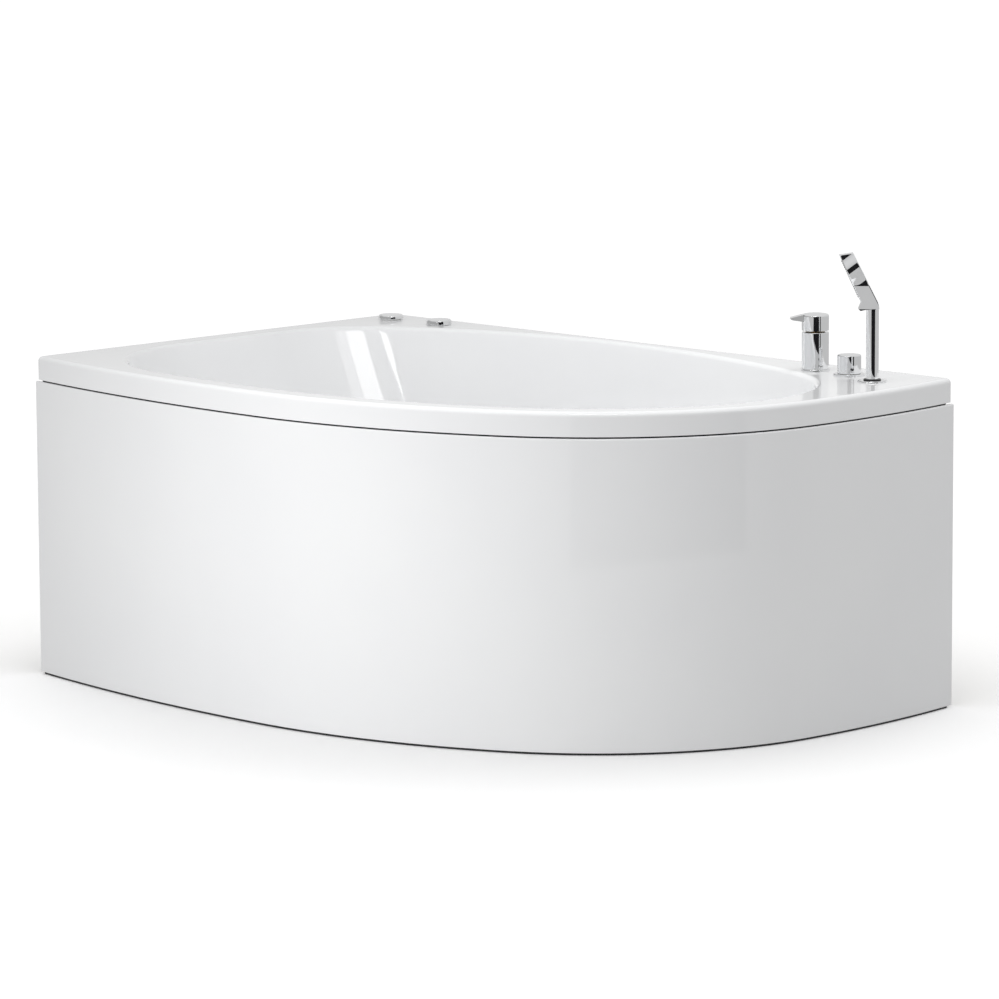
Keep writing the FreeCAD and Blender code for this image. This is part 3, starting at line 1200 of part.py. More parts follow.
def handset():
    """Deck sleeve, plastic guide that turns in it, and the handset that lifts out of the guide."""
    outer_guide = "handset_radius + stem_clearance + guide_wall"
    sleeve_bore = outer_guide + " + stem_clearance"
    sleeve = sleeve_bore + " + guide_wall"
    flange = turned("handset_flange", [
        (sleeve_bore, "-handset_sleeve_length"), (sleeve, "-handset_sleeve_length"), (sleeve, "0"),
        ("handset_flange_radius", "0"), ("handset_flange_radius", "handset_flange_height - 1.5"),
        ("handset_flange_radius - 1", "handset_flange_height"), (sleeve_bore, "handset_flange_height")])
    keep(flange, at(*HANDSET, s.tub_height))
    low, rest = "-handset_sleeve_length + 6", "-handset_stem_low"
    seat = "handset_flange_height + seat_play"
    eye = "handset_radius + stem_clearance"
    guide = turned("handset_guide", [
        ("hose_thread_radius + 0.5", low), (outer_guide, low), (outer_guide, seat), (sleeve, seat),
        (sleeve + " - 0.6", seat + " + 2"), (eye, seat + " + 2"), (eye, rest), ("hose_thread_radius + 0.5", rest)])
    keep(guide, at(*HANDSET, s.tub_height))
    end = "-handset_sleeve_length - 3 - hose_thread_length"
    stem = turned("handset_stem", [
        ("0", end), ("hose_thread_radius", end), ("hose_thread_radius", end + " + hose_thread_length"),
        ("hose_thread_radius - 1", end + " + hose_thread_length"),
        ("hose_thread_radius - 1", "-handset_stem_low + seat_play"),
        ("handset_radius", "-handset_stem_low + seat_play"), ("handset_radius", "handset_stem_top"),
        ("0", "handset_stem_top")])
    doc.recompute()
    blade, plate = handset_blade()
    keep(made("handset", stem.Shape.fuse(blade).removeSplitter()), at(*HANDSET, s.tub_height), TAP_TURN)
    keep(made("spray_plate", plate), at(*HANDSET, s.tub_height), TAP_TURN)


BLADE = {
    # outline of the blade from the side: reach towards the tub, height above the stem's top
    "stem_edge": (-12.2, -6), "shoulder": (-8.8, 7.5), "top_back": (35.9, 96.6), "top_front": (62.2, 92.8),
    "chin": (21.5, 4.3), "lip": (26.3, -7), "lip_low": (22.5, -9.7), "throat": (12.2, -7.5),
}


PLATE_MARGIN = 4


def handset_blade():
    """Flat leaning blade on the stem with a small lip, and the spray plate let into its face."""
    corners = [Vector(x, -s.handset_blade_width / 2, s.handset_stem_top + rise) for x, rise in BLADE.values()]
    face = Part.Face(Part.makePolygon(corners + corners[:1]))
    blade = face.extrude(Vector(0, s.handset_blade_width, 0))
    sides = [edge for edge in blade.Edges if edge.BoundBox.YLength < 0.01 and edge.Length > 60]
    blade = blade.makeFillet(2, sides)
    low = Vector(BLADE["chin"][0], 0, s.handset_stem_top + BLADE["chin"][1])
    high = Vector(BLADE["top_front"][0], 0, s.handset_stem_top + BLADE["top_front"][1])
    run = Vector(high - low).normalize()
    inward = Vector(-run.z, 0, run.x) * s.spray_thickness
    width = s.handset_blade_width - 2 * PLATE_MARGIN
    start, end = low + run * 2 * PLATE_MARGIN, high - run * 2 * PLATE_MARGIN
    side = [spot - Vector(0, width / 2, 0) for spot in (start, end, end + inward, start + inward)]
    plate = Part.Face(Part.makePolygon(side + side[:1])).extrude(Vector(0, width, 0))
    return blade.cut(plate), plate


def deck_nuts():
    """Ring nuts that hold the taps and the air controls from under the deck."""
    shanks = [(MIXER, s.shank_radius), (DIVERTER, s.shank_radius), (HANDSET, SLEEVE_RADIUS),
              (SWITCH, s.control_shank_radius), (REGULATOR, s.control_shank_radius)]
    nuts = []
    for spot, radius in shanks:
        base = at(*spot, DECK_UNDER - s.nut_height)
        nut = Part.makeCylinder(radius + s.nut_width, s.nut_height, base)
        nuts.append(nut.cut(Part.makeCylinder(radius + s.thread_play, s.nut_height, base)))
    keep(made("deck_nuts", Part.makeCompound(nuts)), Vector())


mixer()
mixer_rotor()
mixer_lever()
diverter()
link_pipe()
filler_pipe()
handset()
deck_nuts()

# ---------------------------------------------------------------- air system


def air_control(name, moving, spot, skirt):
    """Low chrome cap over a fixed foot: a push button or a turning knob.

    skirt is the height of the cap's lower edge above the deck.
    """
    eye = "12 + stem_clearance"
    body = turned(name + "_body", [
        ("0", "-control_shank"), ("control_shank_radius", "-control_shank"), ("control_shank_radius", "0"),
        ("control_top_radius - 2", "0"), ("control_top_radius - 2", "control_height - switch_travel - 3"),
        (eye, "control_height - switch_travel - 3"), (eye, "-12"), ("0", "-12")])
    keep(body, at(*spot, s.tub_height))
    roof = "control_height - 2.5"
    cap = turned(name + moving, [
        ("0", "-8.5"), ("12", "-8.5"), ("12", roof), ("control_top_radius - 1.5", roof),
        ("control_top_radius - 1.5", skirt), ("control_radius", skirt),
        ("control_radius - 0.6", "control_height - 3.5"), ("control_top_radius", "control_height - 1"),
        ("control_top_radius - 8", "control_height"), ("0", "control_height")])
    keep(cap, at(*spot, s.tub_height))


def air_duct():
    """Closed flat duct under the board, with a hole below each nozzle and a spigot for the hose."""
    low = BOARD_BOTTOM - s.duct_height
    box = Part.makeBox(DUCT_LENGTH, DUCT_WIDTH, s.duct_height, Vector(s.duct_start, -DUCT_OUT - DUCT_WIDTH / 2, low))
    wall = s.duct_wall
    room = Part.makeBox(DUCT_LENGTH - 2 * wall, DUCT_WIDTH - 2 * wall, s.duct_height - 2 * wall,
                        Vector(s.duct_start + wall, -DUCT_OUT - DUCT_WIDTH / 2 + wall, low + wall))
    z = BOARD_BOTTOM - s.air_hose_drop
    spigot_radius = s.air_hose_radius - s.air_hose_wall - s.seat_play
    spigot = Part.makeCylinder(spigot_radius, SPIGOT + wall, Vector(s.duct_start - SPIGOT, -DUCT_OUT, z),
                               Vector(1, 0, 0))
    way = Part.makeCylinder(spigot_radius - 2, SPIGOT + 2 * wall, Vector(s.duct_start - SPIGOT - 1, -DUCT_OUT, z),
                            Vector(1, 0, 0))
    duct = box.fuse(spigot).cut(room).cut(way)
    for along, out in nozzle_places():
        duct = duct.cut(upright_rod(s.nozzle_bore, along, out, BOARD_BOTTOM - wall - 1, BOARD_BOTTOM + 1))
    keep(made("air_duct", duct), at(0, 0, 0))


SPIGOT = 24
SPIGOT_BITE = 16
BLOWER_Z = CROSS_BOTTOM + s.blower_foot + s.blower_radius
PILOT_BOSS = 8


def air_nozzles():
    """Small domed nozzles on the basin floor, each with a stem down to the duct."""
    stem = "-(shell_thickness + board_thickness)"
    master = turned("air_nozzle_master", [
        ("nozzle_bore", stem), ("nozzle_stem_radius", stem), ("nozzle_stem_radius", "0"),
        ("nozzle_cap_radius", "0"), ("nozzle_cap_radius - 2.5", "nozzle_cap_height"),
        ("nozzle_bore", "nozzle_cap_height")])
    places = [Placement(at(along, out, FLOOR), Rotation()) for along, out in nozzle_places()]
    keep(group("air_nozzles", master, places), Vector())


def blower():
    """Air blower lying on its foot, with an outlet spigot, two pilot bosses and a cable gland."""
    housing = turned("blower_housing", [
        ("0", "0"), ("blower_radius - 12", "0"), ("blower_radius", "10"), ("blower_radius", "blower_length - 14"),
        ("blower_radius - 10", "blower_length"), ("0", "blower_length")])
    doc.recompute()
    shape = housing.Shape.copy()
    shape.Placement = Placement(Vector(s.blower_along, -BLOWER_OUT, BLOWER_Z), TO_RIGHT)
    foot = Part.makeBox(s.blower_length - 50, s.tray_width - 14, s.blower_radius,
                        Vector(s.blower_along + 25, -BLOWER_OUT - s.tray_width / 2 + 7, CROSS_BOTTOM))
    spigot_radius = s.air_hose_radius - s.air_hose_wall - s.seat_play
    face = s.blower_along + s.blower_length
    spigot = Part.makeCylinder(spigot_radius, SPIGOT + 5, Vector(face - 5, -BLOWER_OUT, BLOWER_Z), Vector(1, 0, 0))
    shape = shape.fuse(foot).fuse(spigot)
    for along in PILOT_ENDS:
        top = BLOWER_Z + s.blower_radius
        shape = shape.fuse(upright_rod(s.pilot_radius + 2, along, BLOWER_OUT, top - 20, top + PILOT_BOSS))
    keep(made("blower", shape), at(0, 0, 0))
    gland = turned("cable_gland", [
        ("3.5", "0"), ("10", "0"), ("10", "5"), ("7.5", "6"), ("6.5", "16"), ("3.5", "16")])
    keep(gland, at(face, BLOWER_OUT + s.blower_radius / 2, BLOWER_Z), TO_RIGHT)


PILOT_ENDS = (s.blower_along + 40, s.blower_along + 80)


def blower_tray():
    """Bent sheet tray under the left cross rail that carries the blower."""
    start = s.blower_along
    end = s.left_rail_along + s.rail_size / 2
    base = Vector(start, -BLOWER_OUT - s.tray_width / 2, CROSS_BOTTOM - s.tray_thickness)
    sheet = Part.makeBox(end - start, s.tray_width, s.tray_thickness, base)
    for shift in (0, s.tray_width - s.tray_thickness):
        lip = Part.makeBox(end - start, s.tray_thickness, 15, base + Vector(0, shift, s.tray_thickness - 15))
        sheet = sheet.fuse(lip)
    keep(made("blower_tray", sheet.removeSplitter()), at(0, 0, 0))


def air_hose():
    """Hose from the blower over the left cross rail to the duct."""
    z = BOARD_BOTTOM - s.air_hose_drop
    start = Vector(s.blower_along + s.blower_length + SPIGOT - SPIGOT_BITE, -BLOWER_OUT, BLOWER_Z)
    end = Vector(s.duct_start - SPIGOT + SPIGOT_BITE, -DUCT_OUT, z)
    first = start + Vector(60, 0, 0)
    second = end - Vector(70, 0, 0)
    hose("air_hose", [spot - MIDDLE for spot in (start, first, second, end)], s.air_hose_radius, s.air_hose_wall)


def pilot_tubes():
    """Two thin tubes from the air controls down behind the backrest to the blower."""
    top = s.tub_height - s.control_shank
    low = BLOWER_Z + s.blower_radius + PILOT_BOSS
    switch_end, regulator_end = PILOT_ENDS
    out = BLOWER_OUT
    routes = (
        [(*SWITCH, top), (*SWITCH, top - 190),
         (switch_end, out, low + 105), (switch_end, out, low)],
        [(*REGULATOR, top), (*REGULATOR, top - 140),
         (regulator_end, 205, top - 215), (regulator_end, out, low + 100), (regulator_end, out, low)])
    tubes = []
    for route in routes:
        path = rounded_path([Vector(along, -reach, z) for along, reach, z in route])
        tubes.append(swept(path, s.pilot_radius).cut(swept(path, s.pilot_radius - s.pilot_wall)))
    keep(made("pilot_tubes", Part.makeCompound(tubes)), at(0, 0, 0))


air_control("air_switch", "_button", SWITCH, "switch_travel + 0.3")
air_control("air_regulator", "_knob", REGULATOR, "0.5")
air_duct()
air_nozzles()
blower()
blower_tray()
air_hose()
pilot_tubes()

# ---------------------------------------------------------------- checks and files

doc.recompute()
for thing in doc.Objects:
    for state in ("Invalid", "Error"):
        if state in thing.State:
            raise RuntimeError("%s is %s" % (thing.Label, state))
os.makedirs("parts", exist_ok=True)
for part in parts:
    if part.Shape.isNull() or not part.Shape.isValid():
        raise RuntimeError("%s has no valid solid" % part.Label)
    print("%-26s solids %2d volume %10.1f cm3" % (part.Label, len(part.Shape.Solids), part.Shape.Volume / 1000))
    part.Shape.exportStep(os.path.join("parts", part.Label + ".step"))
print("%d sub-parts, reach %.1f, depth %.1f" % (len(parts), REACH, DEPTH))
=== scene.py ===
import json
import math

import bmesh
import bpy
from mathutils import Matrix, Vector
from mathutils.geometry import delaunay_2d_cdt


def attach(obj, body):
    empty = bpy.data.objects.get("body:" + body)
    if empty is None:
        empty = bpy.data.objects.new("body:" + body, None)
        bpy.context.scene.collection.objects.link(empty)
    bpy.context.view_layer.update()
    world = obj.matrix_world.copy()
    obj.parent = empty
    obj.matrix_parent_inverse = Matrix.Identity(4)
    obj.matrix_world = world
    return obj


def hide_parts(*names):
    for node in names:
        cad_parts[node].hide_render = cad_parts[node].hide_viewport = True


# Asymmetric corner bath with a bowed apron, deck taps and two air controls.
# Plan sizes are millimetres from the room corner: along the back wall, and out from it.
# Places in the finished frame, such as the camera's and the lamps', are metres.

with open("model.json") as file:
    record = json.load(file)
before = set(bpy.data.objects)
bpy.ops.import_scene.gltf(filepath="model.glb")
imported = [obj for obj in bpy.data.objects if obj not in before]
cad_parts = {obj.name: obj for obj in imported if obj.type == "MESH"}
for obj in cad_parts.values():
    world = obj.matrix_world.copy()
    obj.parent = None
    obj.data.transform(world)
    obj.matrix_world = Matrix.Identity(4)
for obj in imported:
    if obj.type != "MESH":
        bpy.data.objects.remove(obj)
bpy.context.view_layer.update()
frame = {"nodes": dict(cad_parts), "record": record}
nodes = frame["nodes"]

# ---------------------------------------------------------------- camera

YAW, PITCH, ROLL = math.radians(45.23), 0.152443656, -0.00541935
RIGHT = (math.cos(YAW), math.sin(YAW), 0.0)
AHEAD = (-math.sin(YAW), math.cos(YAW), 0.0)
UP = (0.0, 0.0, 1.0)
CAMERA_PLACE = (7.256967, -7.145674, 1.9356)
LENS_PIXELS, PHOTO_PIXELS, SENSOR, CLIP_END = 5454.31, 999, 36.0, 200


def in_scene(name, data):
    """New object in the scene."""
    thing = bpy.data.objects.new(name, data)
    bpy.context.scene.collection.objects.link(thing)
    return thing


def make_camera():
    """Long lens at the photograph's angle."""
    right = Vector(RIGHT)
    ahead = Vector((AHEAD[0] * math.cos(PITCH), AHEAD[1] * math.cos(PITCH), -math.sin(PITCH)))
    up = right.cross(ahead)
    turned_right = right * math.cos(ROLL) + up * math.sin(ROLL)
    turned_up = up * math.cos(ROLL) - right * math.sin(ROLL)
    lens = bpy.data.cameras.new("camera")
    lens.sensor_width = SENSOR
    lens.lens = LENS_PIXELS * SENSOR / PHOTO_PIXELS
    lens.clip_end = CLIP_END
    camera = in_scene("camera", lens)
    turn = Matrix((turned_right, turned_up, -ahead)).transposed().to_4x4()
    camera.matrix_world = Matrix.Translation(CAMERA_PLACE) @ turn
    bpy.context.scene.camera = camera


make_camera()

# ---------------------------------------------------------------- shader groups


def group_tree(name, inputs, outputs):
    """Empty shader group with named float inputs and named outputs of a given kind."""
    tree = bpy.data.node_groups.new(name, "ShaderNodeTree")
    for label, value in inputs:
        socket = tree.interface.new_socket(name=label, in_out="INPUT",
                                           socket_type="NodeSocketFloat")
        socket.default_value = value
    for label, kind in outputs:
        tree.interface.new_socket(name=label, in_out="OUTPUT", socket_type=kind)
    return tree, tree.nodes.new("NodeGroupInput"), tree.nodes.new("NodeGroupOutput")


def add(tree, kind, **values):
    """New node with its properties set."""
    node = tree.nodes.new(kind)
    for key, value in values.items():
        setattr(node, key, value)
    return node


def preset(node, **values):
    """Node with its inputs set, which are named with _ for a space."""
    for label, value in values.items():
        node.inputs[label.replace("_", " ")].default_value = value
    return node


def link(tree, *pairs):
    """Join outputs to inputs, each pair an output and an input."""
    for output, socket in pairs:
        tree.links.new(output, socket)


def calc(tree, operation, *values):
    """Output of a math node, each of whose values is a number or another output."""
    node = add(tree, "ShaderNodeMath", operation=operation)
    for socket, value in zip(node.inputs, values):
        if isinstance(value, float):
            socket.default_value = value
        else:
            tree.links.new(value, socket)
    return node.outputs["Value"]


def right_and_up(tree, right, up):
    """Vector of two amounts: to the right, as the camera sees the object at rest, and up."""
    way = add(tree, "ShaderNodeCombineXYZ")
    for axis, share in zip("XY", RIGHT):
        link(tree, (calc(tree, "MULTIPLY", right, share), way.inputs[axis]))
    link(tree, (up, way.inputs["Z"]))
    return way.outputs["Vector"]


def cloud_group():
    """Slow and fine unevenness of a surface, as one mask and one height."""
    tree, given, out = group_tree("surface_clouds", [("Slow Scale", 3.0), ("Fine Scale", 900.0)],
                                  [("Mask", "NodeSocketFloat"), ("Height", "NodeSocketFloat")])
    place = add(tree, "ShaderNodeTexCoord")
    for label, detail, result in (("Slow Scale", 3, "Mask"), ("Fine Scale", 2, "Height")):
        texture = preset(add(tree, "ShaderNodeTexNoise"), Detail=detail)
        link(tree, (place.outputs["Object"], texture.inputs["Vector"]),
             (given.outputs[label], texture.inputs["Scale"]),
             (texture.outputs["Fac"], out.inputs[result]))
    return tree


def zone_group():
    """Mask that rises between two places along a direction of the piece."""
    tree, given, out = group_tree(
        "zone", [("Right", 0.0), ("Up", 1.0), ("Start", 0.0), ("End", 0.001)],
        [("Mask", "NodeSocketFloat")])
    place = add(tree, "ShaderNodeTexCoord")
    way = right_and_up(tree, given.outputs["Right"], given.outputs["Up"])
    along = add(tree, "ShaderNodeVectorMath", operation="DOT_PRODUCT")
    rise = add(tree, "ShaderNodeMapRange", interpolation_type="SMOOTHSTEP")
    link(tree, (place.outputs["Object"], along.inputs[0]), (way, along.inputs[1]),
         (along.outputs["Value"], rise.inputs["Value"]),
         (given.outputs["Start"], rise.inputs["From Min"]),
         (given.outputs["End"], rise.inputs["From Max"]),
         (rise.outputs["Result"], out.inputs["Mask"]))
    return tree


def pressed_group():
    """Normal of a pressed sheet: leaning in one zone, waved up and down in another."""
    tree, given, out = group_tree(
        "pressed_sheet",
        [("Lean Zone", 0.0), ("Lean Right", 0.0), ("Lean Up", 0.0), ("Wave Zone", 0.0),
         ("Wave", 0.0), ("Wave Turn", 131.0), ("Wave Slant", 60.0), ("Wave Start", 0.0)],
        [("Normal", "NodeSocketVector")])
    values = given.outputs
    place = add(tree, "ShaderNodeTexCoord")
    across = add(tree, "ShaderNodeVectorMath", operation="DOT_PRODUCT")
    across.inputs[1].default_value = RIGHT
    split = add(tree, "ShaderNodeSeparateXYZ")
    link(tree, (place.outputs["Object"], across.inputs[0]),
         (place.outputs["Object"], split.inputs["Vector"]))

    turn = calc(tree, "MULTIPLY", split.outputs["Z"], values["Wave Turn"])
    slant = calc(tree, "MULTIPLY", across.outputs["Value"], values["Wave Slant"])
    angle = calc(tree, "ADD", calc(tree, "ADD", turn, slant), values["Wave Start"])
    wave = calc(tree, "MULTIPLY", calc(tree, "SINE", angle), values["Wave"])
    wave = calc(tree, "MULTIPLY", wave, values["Wave Zone"])
    up = calc(tree, "ADD", wave, calc(tree, "MULTIPLY", values["Lean Up"], values["Lean Zone"]))
    right = calc(tree, "MULTIPLY", values["Lean Right"], values["Lean Zone"])

    total = add(tree, "ShaderNodeVectorMath", operation="ADD")
    unit_length = add(tree, "ShaderNodeVectorMath", operation="NORMALIZE")
    world = add(tree, "ShaderNodeVectorTransform", vector_type="NORMAL",
                convert_from="OBJECT", convert_to="WORLD")
    link(tree, (place.outputs["Normal"], total.inputs[0]),
         (right_and_up(tree, right, up), total.inputs[1]),
         (total.outputs["Vector"], unit_length.inputs[0]),
         (unit_length.outputs["Vector"], world.inputs["Vector"]),
         (world.outputs["Vector"], out.inputs["Normal"]))
    return tree


def thread_group():
    """Height of a screw thread round an upright axis."""
    tree, given, out = group_tree("thread", [("Pitch", 0.00175), ("Depth", 0.0006)],
                                  [("Height", "NodeSocketFloat")])
    place = add(tree, "ShaderNodeTexCoord")
    split = add(tree, "ShaderNodeSeparateXYZ")
    link(tree, (place.outputs["Object"], split.inputs["Vector"]))
    turns = calc(tree, "DIVIDE", split.outputs["Z"], given.outputs["Pitch"])
    half_turns = calc(tree, "PINGPONG", turns, 0.5)
    height = calc(tree, "MULTIPLY", half_turns, given.outputs["Depth"])
    link(tree, (height, out.inputs["Height"]))
    return tree


CLOUDS, ZONE, PRESSED, THREAD = cloud_group(), zone_group(), pressed_group(), thread_group()

# ---------------------------------------------------------------- materials

# Levels of the noise between which a surface goes from its one look to its other.
DRIFT = (0.3, 0.7)


def placed(tree, group, **values):
    """Shader group in a material, with its named values set."""
    return preset(add(tree, "ShaderNodeGroup", node_tree=group), **values)


def new_material(name):
    """Material with its tree and its shader."""
    material = bpy.data.materials.new(name)
    material.use_nodes = True
    tree = material.node_tree
    return material, tree, tree.nodes["Principled BSDF"]


def raise_surface(tree, height, distance):
    """Let a height that changes over the surface bend the normal of its shader."""
    relief = preset(add(tree, "ShaderNodeBump"), Strength=1.0, Distance=distance)
    link(tree, (height, relief.inputs["Height"]),
         (relief.outputs["Normal"], tree.nodes["Principled BSDF"].inputs["Normal"]))


def surface(name, low, high, rough, slow, fine, bump=0.0, metallic=0.0):
    """Material whose colour drifts between two tones, and its gloss between two values."""
    material, tree, shader = new_material(name)
    clouds = placed(tree, CLOUDS, Slow_Scale=slow, Fine_Scale=fine)
    tones = add(tree, "ShaderNodeValToRGB")
    for element, position, tone in zip(tones.color_ramp.elements, DRIFT, (low, high)):
        element.position = position
        element.color = (*tone, 1)
    gloss = preset(add(tree, "ShaderNodeMapRange"), From_Min=DRIFT[0], From_Max=DRIFT[1],
                   To_Min=rough[0], To_Max=rough[1])
    link(tree, (clouds.outputs["Mask"], tones.inputs["Fac"]),
         (tones.outputs["Color"], shader.inputs["Base Color"]),
         (clouds.outputs["Height"], gloss.inputs["Value"]),
         (gloss.outputs["Result"], shader.inputs["Roughness"]))
    shader.inputs["Metallic"].default_value = metallic
    if bump:
        raise_surface(tree, clouds.outputs["Height"], bump)
    return material


GLASS_FIBRE = surface("glass_fibre_backing", (0.62, 0.6, 0.54), (0.78, 0.76, 0.7), (0.45, 0.7),
                      slow=14, fine=260, bump=0.0006)
# One finish for each material slot: its name, its two tones, its gloss and its grain.
FINISHES = {
    "acrylic": surface("white_acrylic", (0.87, 0.875, 0.885), (0.9, 0.905, 0.91), (0.02, 0.045),
                       slow=2.5, fine=60),
    "chrome": surface("polished_chrome", (0.86, 0.87, 0.88), (0.9, 0.905, 0.91), (0.02, 0.04),
                      slow=20, fine=300, metallic=1.0),
    "brass": surface("machined_brass", (0.62, 0.44, 0.2), (0.74, 0.56, 0.3), (0.22, 0.4),
                     slow=40, fine=1200, bump=0.00002, metallic=1.0),
    "copper": surface("drawn_copper", (0.62, 0.3, 0.18), (0.78, 0.42, 0.28), (0.2, 0.38),
                      slow=18, fine=700, bump=0.00002, metallic=1.0),
    "galvanised": surface("zinc_plated_steel", (0.5, 0.52, 0.54), (0.66, 0.68, 0.69),
                          (0.28, 0.5), slow=30, fine=160, bump=0.00004, metallic=0.9),
    "rubber": surface("black_rubber", (0.02, 0.02, 0.022), (0.05, 0.05, 0.052), (0.6, 0.85),
                      slow=30, fine=1500, bump=0.00006),
    "white_plastic": surface("white_polypropylene", (0.74, 0.75, 0.75), (0.82, 0.82, 0.81),
                             (0.35, 0.5), slow=12, fine=1600, bump=0.00003),
    "grey_plastic": surface("grey_plastic", (0.2, 0.21, 0.22), (0.26, 0.27, 0.28), (0.4, 0.55),
                            slow=10, fine=1600, bump=0.00004),
    "black_plastic": surface("black_plastic", (0.012, 0.012, 0.013), (0.03, 0.03, 0.032),
                             (0.3, 0.45), slow=20, fine=1600, bump=0.00002),
    "board": surface("chipboard", (0.36, 0.25, 0.14), (0.6, 0.46, 0.3), (0.6, 0.8),
                     slow=160, fine=500, bump=0.0003),
}


def pressed_chrome(name, lean_zones, wave_zones=(), **form_values):
    """Chrome on a pressed sheet; a zone is how far right, how far up, its start and its end."""
    material = FINISHES["chrome"].copy()
    material.name = name
    tree = material.node_tree
    form = placed(tree, PRESSED, **form_values)
    for label, zones in (("Lean Zone", lean_zones), ("Wave Zone", wave_zones)):
        last = None
        for right, up, start, end in zones:
            mask = placed(tree, ZONE, Right=right, Up=up, Start=start, End=end).outputs["Mask"]
            last = calc(tree, "MULTIPLY", last, mask) if last else mask
        if last:
            link(tree, (last, form.inputs[label]))
    link(tree, (form.outputs["Normal"], tree.nodes["Principled BSDF"].inputs["Normal"]))
    return material


def threaded(name, base, pitch):
    """A finish with a screw thread on it."""
    material = base.copy()
    material.name = name
    tree = material.node_tree
    # The group's height is in metres already.
    raise_surface(tree, placed(tree, THREAD, Pitch=pitch).outputs["Height"], distance=1.0)
    return material


# ---------------------------------------------------------------- plan of the bath

WALL_LENGTH, END_LENGTH, HEIGHT, FLOOR = 1500.0, 950.0, 620.0, 180.0
DEPTH = HEIGHT - FLOOR
# The bowed front is four arcs: headings where they meet, and the radii of the middle two.
HEADINGS = (-10.6, 0.8, 27.1, 86.2, 98.6)
SHOULDER_RADIUS, NOSE_RADIUS = 1177.0, 568.0
# Rim: its height, its sheet, its corners in plan, its outer edge and the lip into the basin.
SKIRT, SHELL, CORNER, RIM_EDGE, LIP = 45.0, 6.0, 14.0, 9.0, 11.0
FRONT_RIM, LEFT_RIM, BACK_RIM = 52.0, 57.0, 33.0
# Basin: radii of its corners, and the headings where the arcs of its back meet.
FRONT_LEFT, BACK_LEFT, BACK_RIGHT = 330.0, 215.0, 335.0
JOIN, TURN, FAR = 65.0, 160.0, 210.0
# Its walls lean in on the way down: the sides, the backrest and the bend into the floor.
SIDE_RUN = DEPTH * math.tan(math.radians(10))
HEAD_RUN, HEAD_MIDDLE, BEND = 234.0, 0.45, 70.0
APRON_TOP, APRON_LOW, APRON_PROUD, APRON_SKIN, APRON_EDGE = 572.0, 4.0, 2.0, 5.0, 3.0
DRAIN_RECESS, DRAIN_HOLE, RECESS_DEPTH = 38.0, 26.0, 3.0
# Where the taps and the two air controls stand on the deck, and the radii of their holes.
MIXER, DIVERTER, HANDSET = Vector((1240, -92)), Vector((1333, -101)), Vector((1425, -141))
AIR_SWITCH, AIR_REGULATOR = Vector((76, -79)), Vector((207, -71))
DECK_HOLES = ((MIXER, 19), (DIVERTER, 19), (HANDSET, 17.36), (AIR_SWITCH, 16),
              (AIR_REGULATOR, 16))

# Points on each arc of a ring, in the order of its arcs, and on its straight sides.
BASIN_COUNTS, BASIN_LEFT_COUNT = (40, 16, 24, 22, 48, 20, 24, 28), 12
OUTER_COUNTS, BACK_COUNT, LEFT_COUNT = (14, 48, 44, 60, 30, 14), 60, 40
APRON_COUNTS, CORD_COUNTS = (64, 56, 72, 30), (60, 50, 70, 30)
ROUND_COUNT, DECK_HOLE_COUNT = 64, 48
# Rings of the rim this far under its rounded edge.
RIM_DROPS = (14, 2)
# Angles at which rounded edges are cut.
QUARTER = range(0, 91, 15)
LIP_ANGLES, BEND_ANGLES = (90, 78, 66, 54, 42, 31, 22), range(0, 91, 6)
# Heights of the basin's rings between its lip and its bend.
UPPER_ROWS, MIDDLE_ROWS = (607, 600, 588), (*range(570, 281, -24), 265)
# The foot of a wall is searched by halving, against heights this far apart.
HALVINGS, SEARCH_STEP = 40, 0.5


def unit(heading):
    """Direction in plan that points out of a left-turning arc at a heading."""
    angle = math.radians(heading)
    return Vector((math.sin(angle), -math.cos(angle)))


def heading_of(way):
    """Heading at which an arc points out in a direction."""
    return math.degrees(math.atan2(way.x, -way.y))


def step(start, end):
    """How far an arc of radius one goes between two headings, along and across."""
    a, b = math.radians(start), math.radians(end)
    return math.sin(b) - math.sin(a), math.cos(a) - math.cos(b)


class Arc:
    """Left-turning arc in plan between two headings."""

    def __init__(self, centre, radius, start, end):
        self.centre, self.radius, self.start, self.end = centre, radius, start, end

    def point(self, heading, inset=0.0):
        """Spot at a heading, on the arc or moved inwards."""
        return self.centre + unit(heading) * (self.radius - inset)

    def points(self, count, inset=0.0):
        """Points from the start up to, but not at, the end."""
        turn = (self.end - self.start) / count
        return [self.point(self.start + turn * index, inset) for index in range(count)]

    def within(self, inset, end=None):
        """The arc moved inwards, up to another heading where one is given."""
        return Arc(self.centre, self.radius - inset, self.start, self.end if end is None else end)


def front_edge():
    """Four tangent arcs from the left wall to the back wall."""
    spans = [step(a, b) for a, b in zip(HEADINGS[:-1], HEADINGS[1:])]
    along = WALL_LENGTH - SHOULDER_RADIUS * spans[1][0] - NOSE_RADIUS * spans[2][0]
    across = END_LENGTH - SHOULDER_RADIUS * spans[1][1] - NOSE_RADIUS * spans[2][1]
    first, last = spans[0], spans[3]
    scale = first[0] * last[1] - last[0] * first[1]
    radii = [(along * last[1] - last[0] * across) / scale, SHOULDER_RADIUS, NOSE_RADIUS,
             (first[0] * across - first[1] * along) / scale]
    arcs, place = [], Vector((0, -END_LENGTH))
    for radius, start, end in zip(radii, HEADINGS[:-1], HEADINGS[1:]):
        arcs.append(Arc(place - unit(start) * radius, radius, start, end))
        place = arcs[-1].point(end)
    return arcs


FRONT_ARCS = front_edge()
FRONT, SHOULDER, NOSE, END = FRONT_ARCS
TAP_CORNER = NOSE.centre + unit(JOIN) * (NOSE_RADIUS - FRONT_RIM - BACK_RIGHT)
MIDDLE = Vector(((END.point(90).x + APRON_PROUD) / 2, (FRONT.point(0).y - APRON_PROUD) / 2))


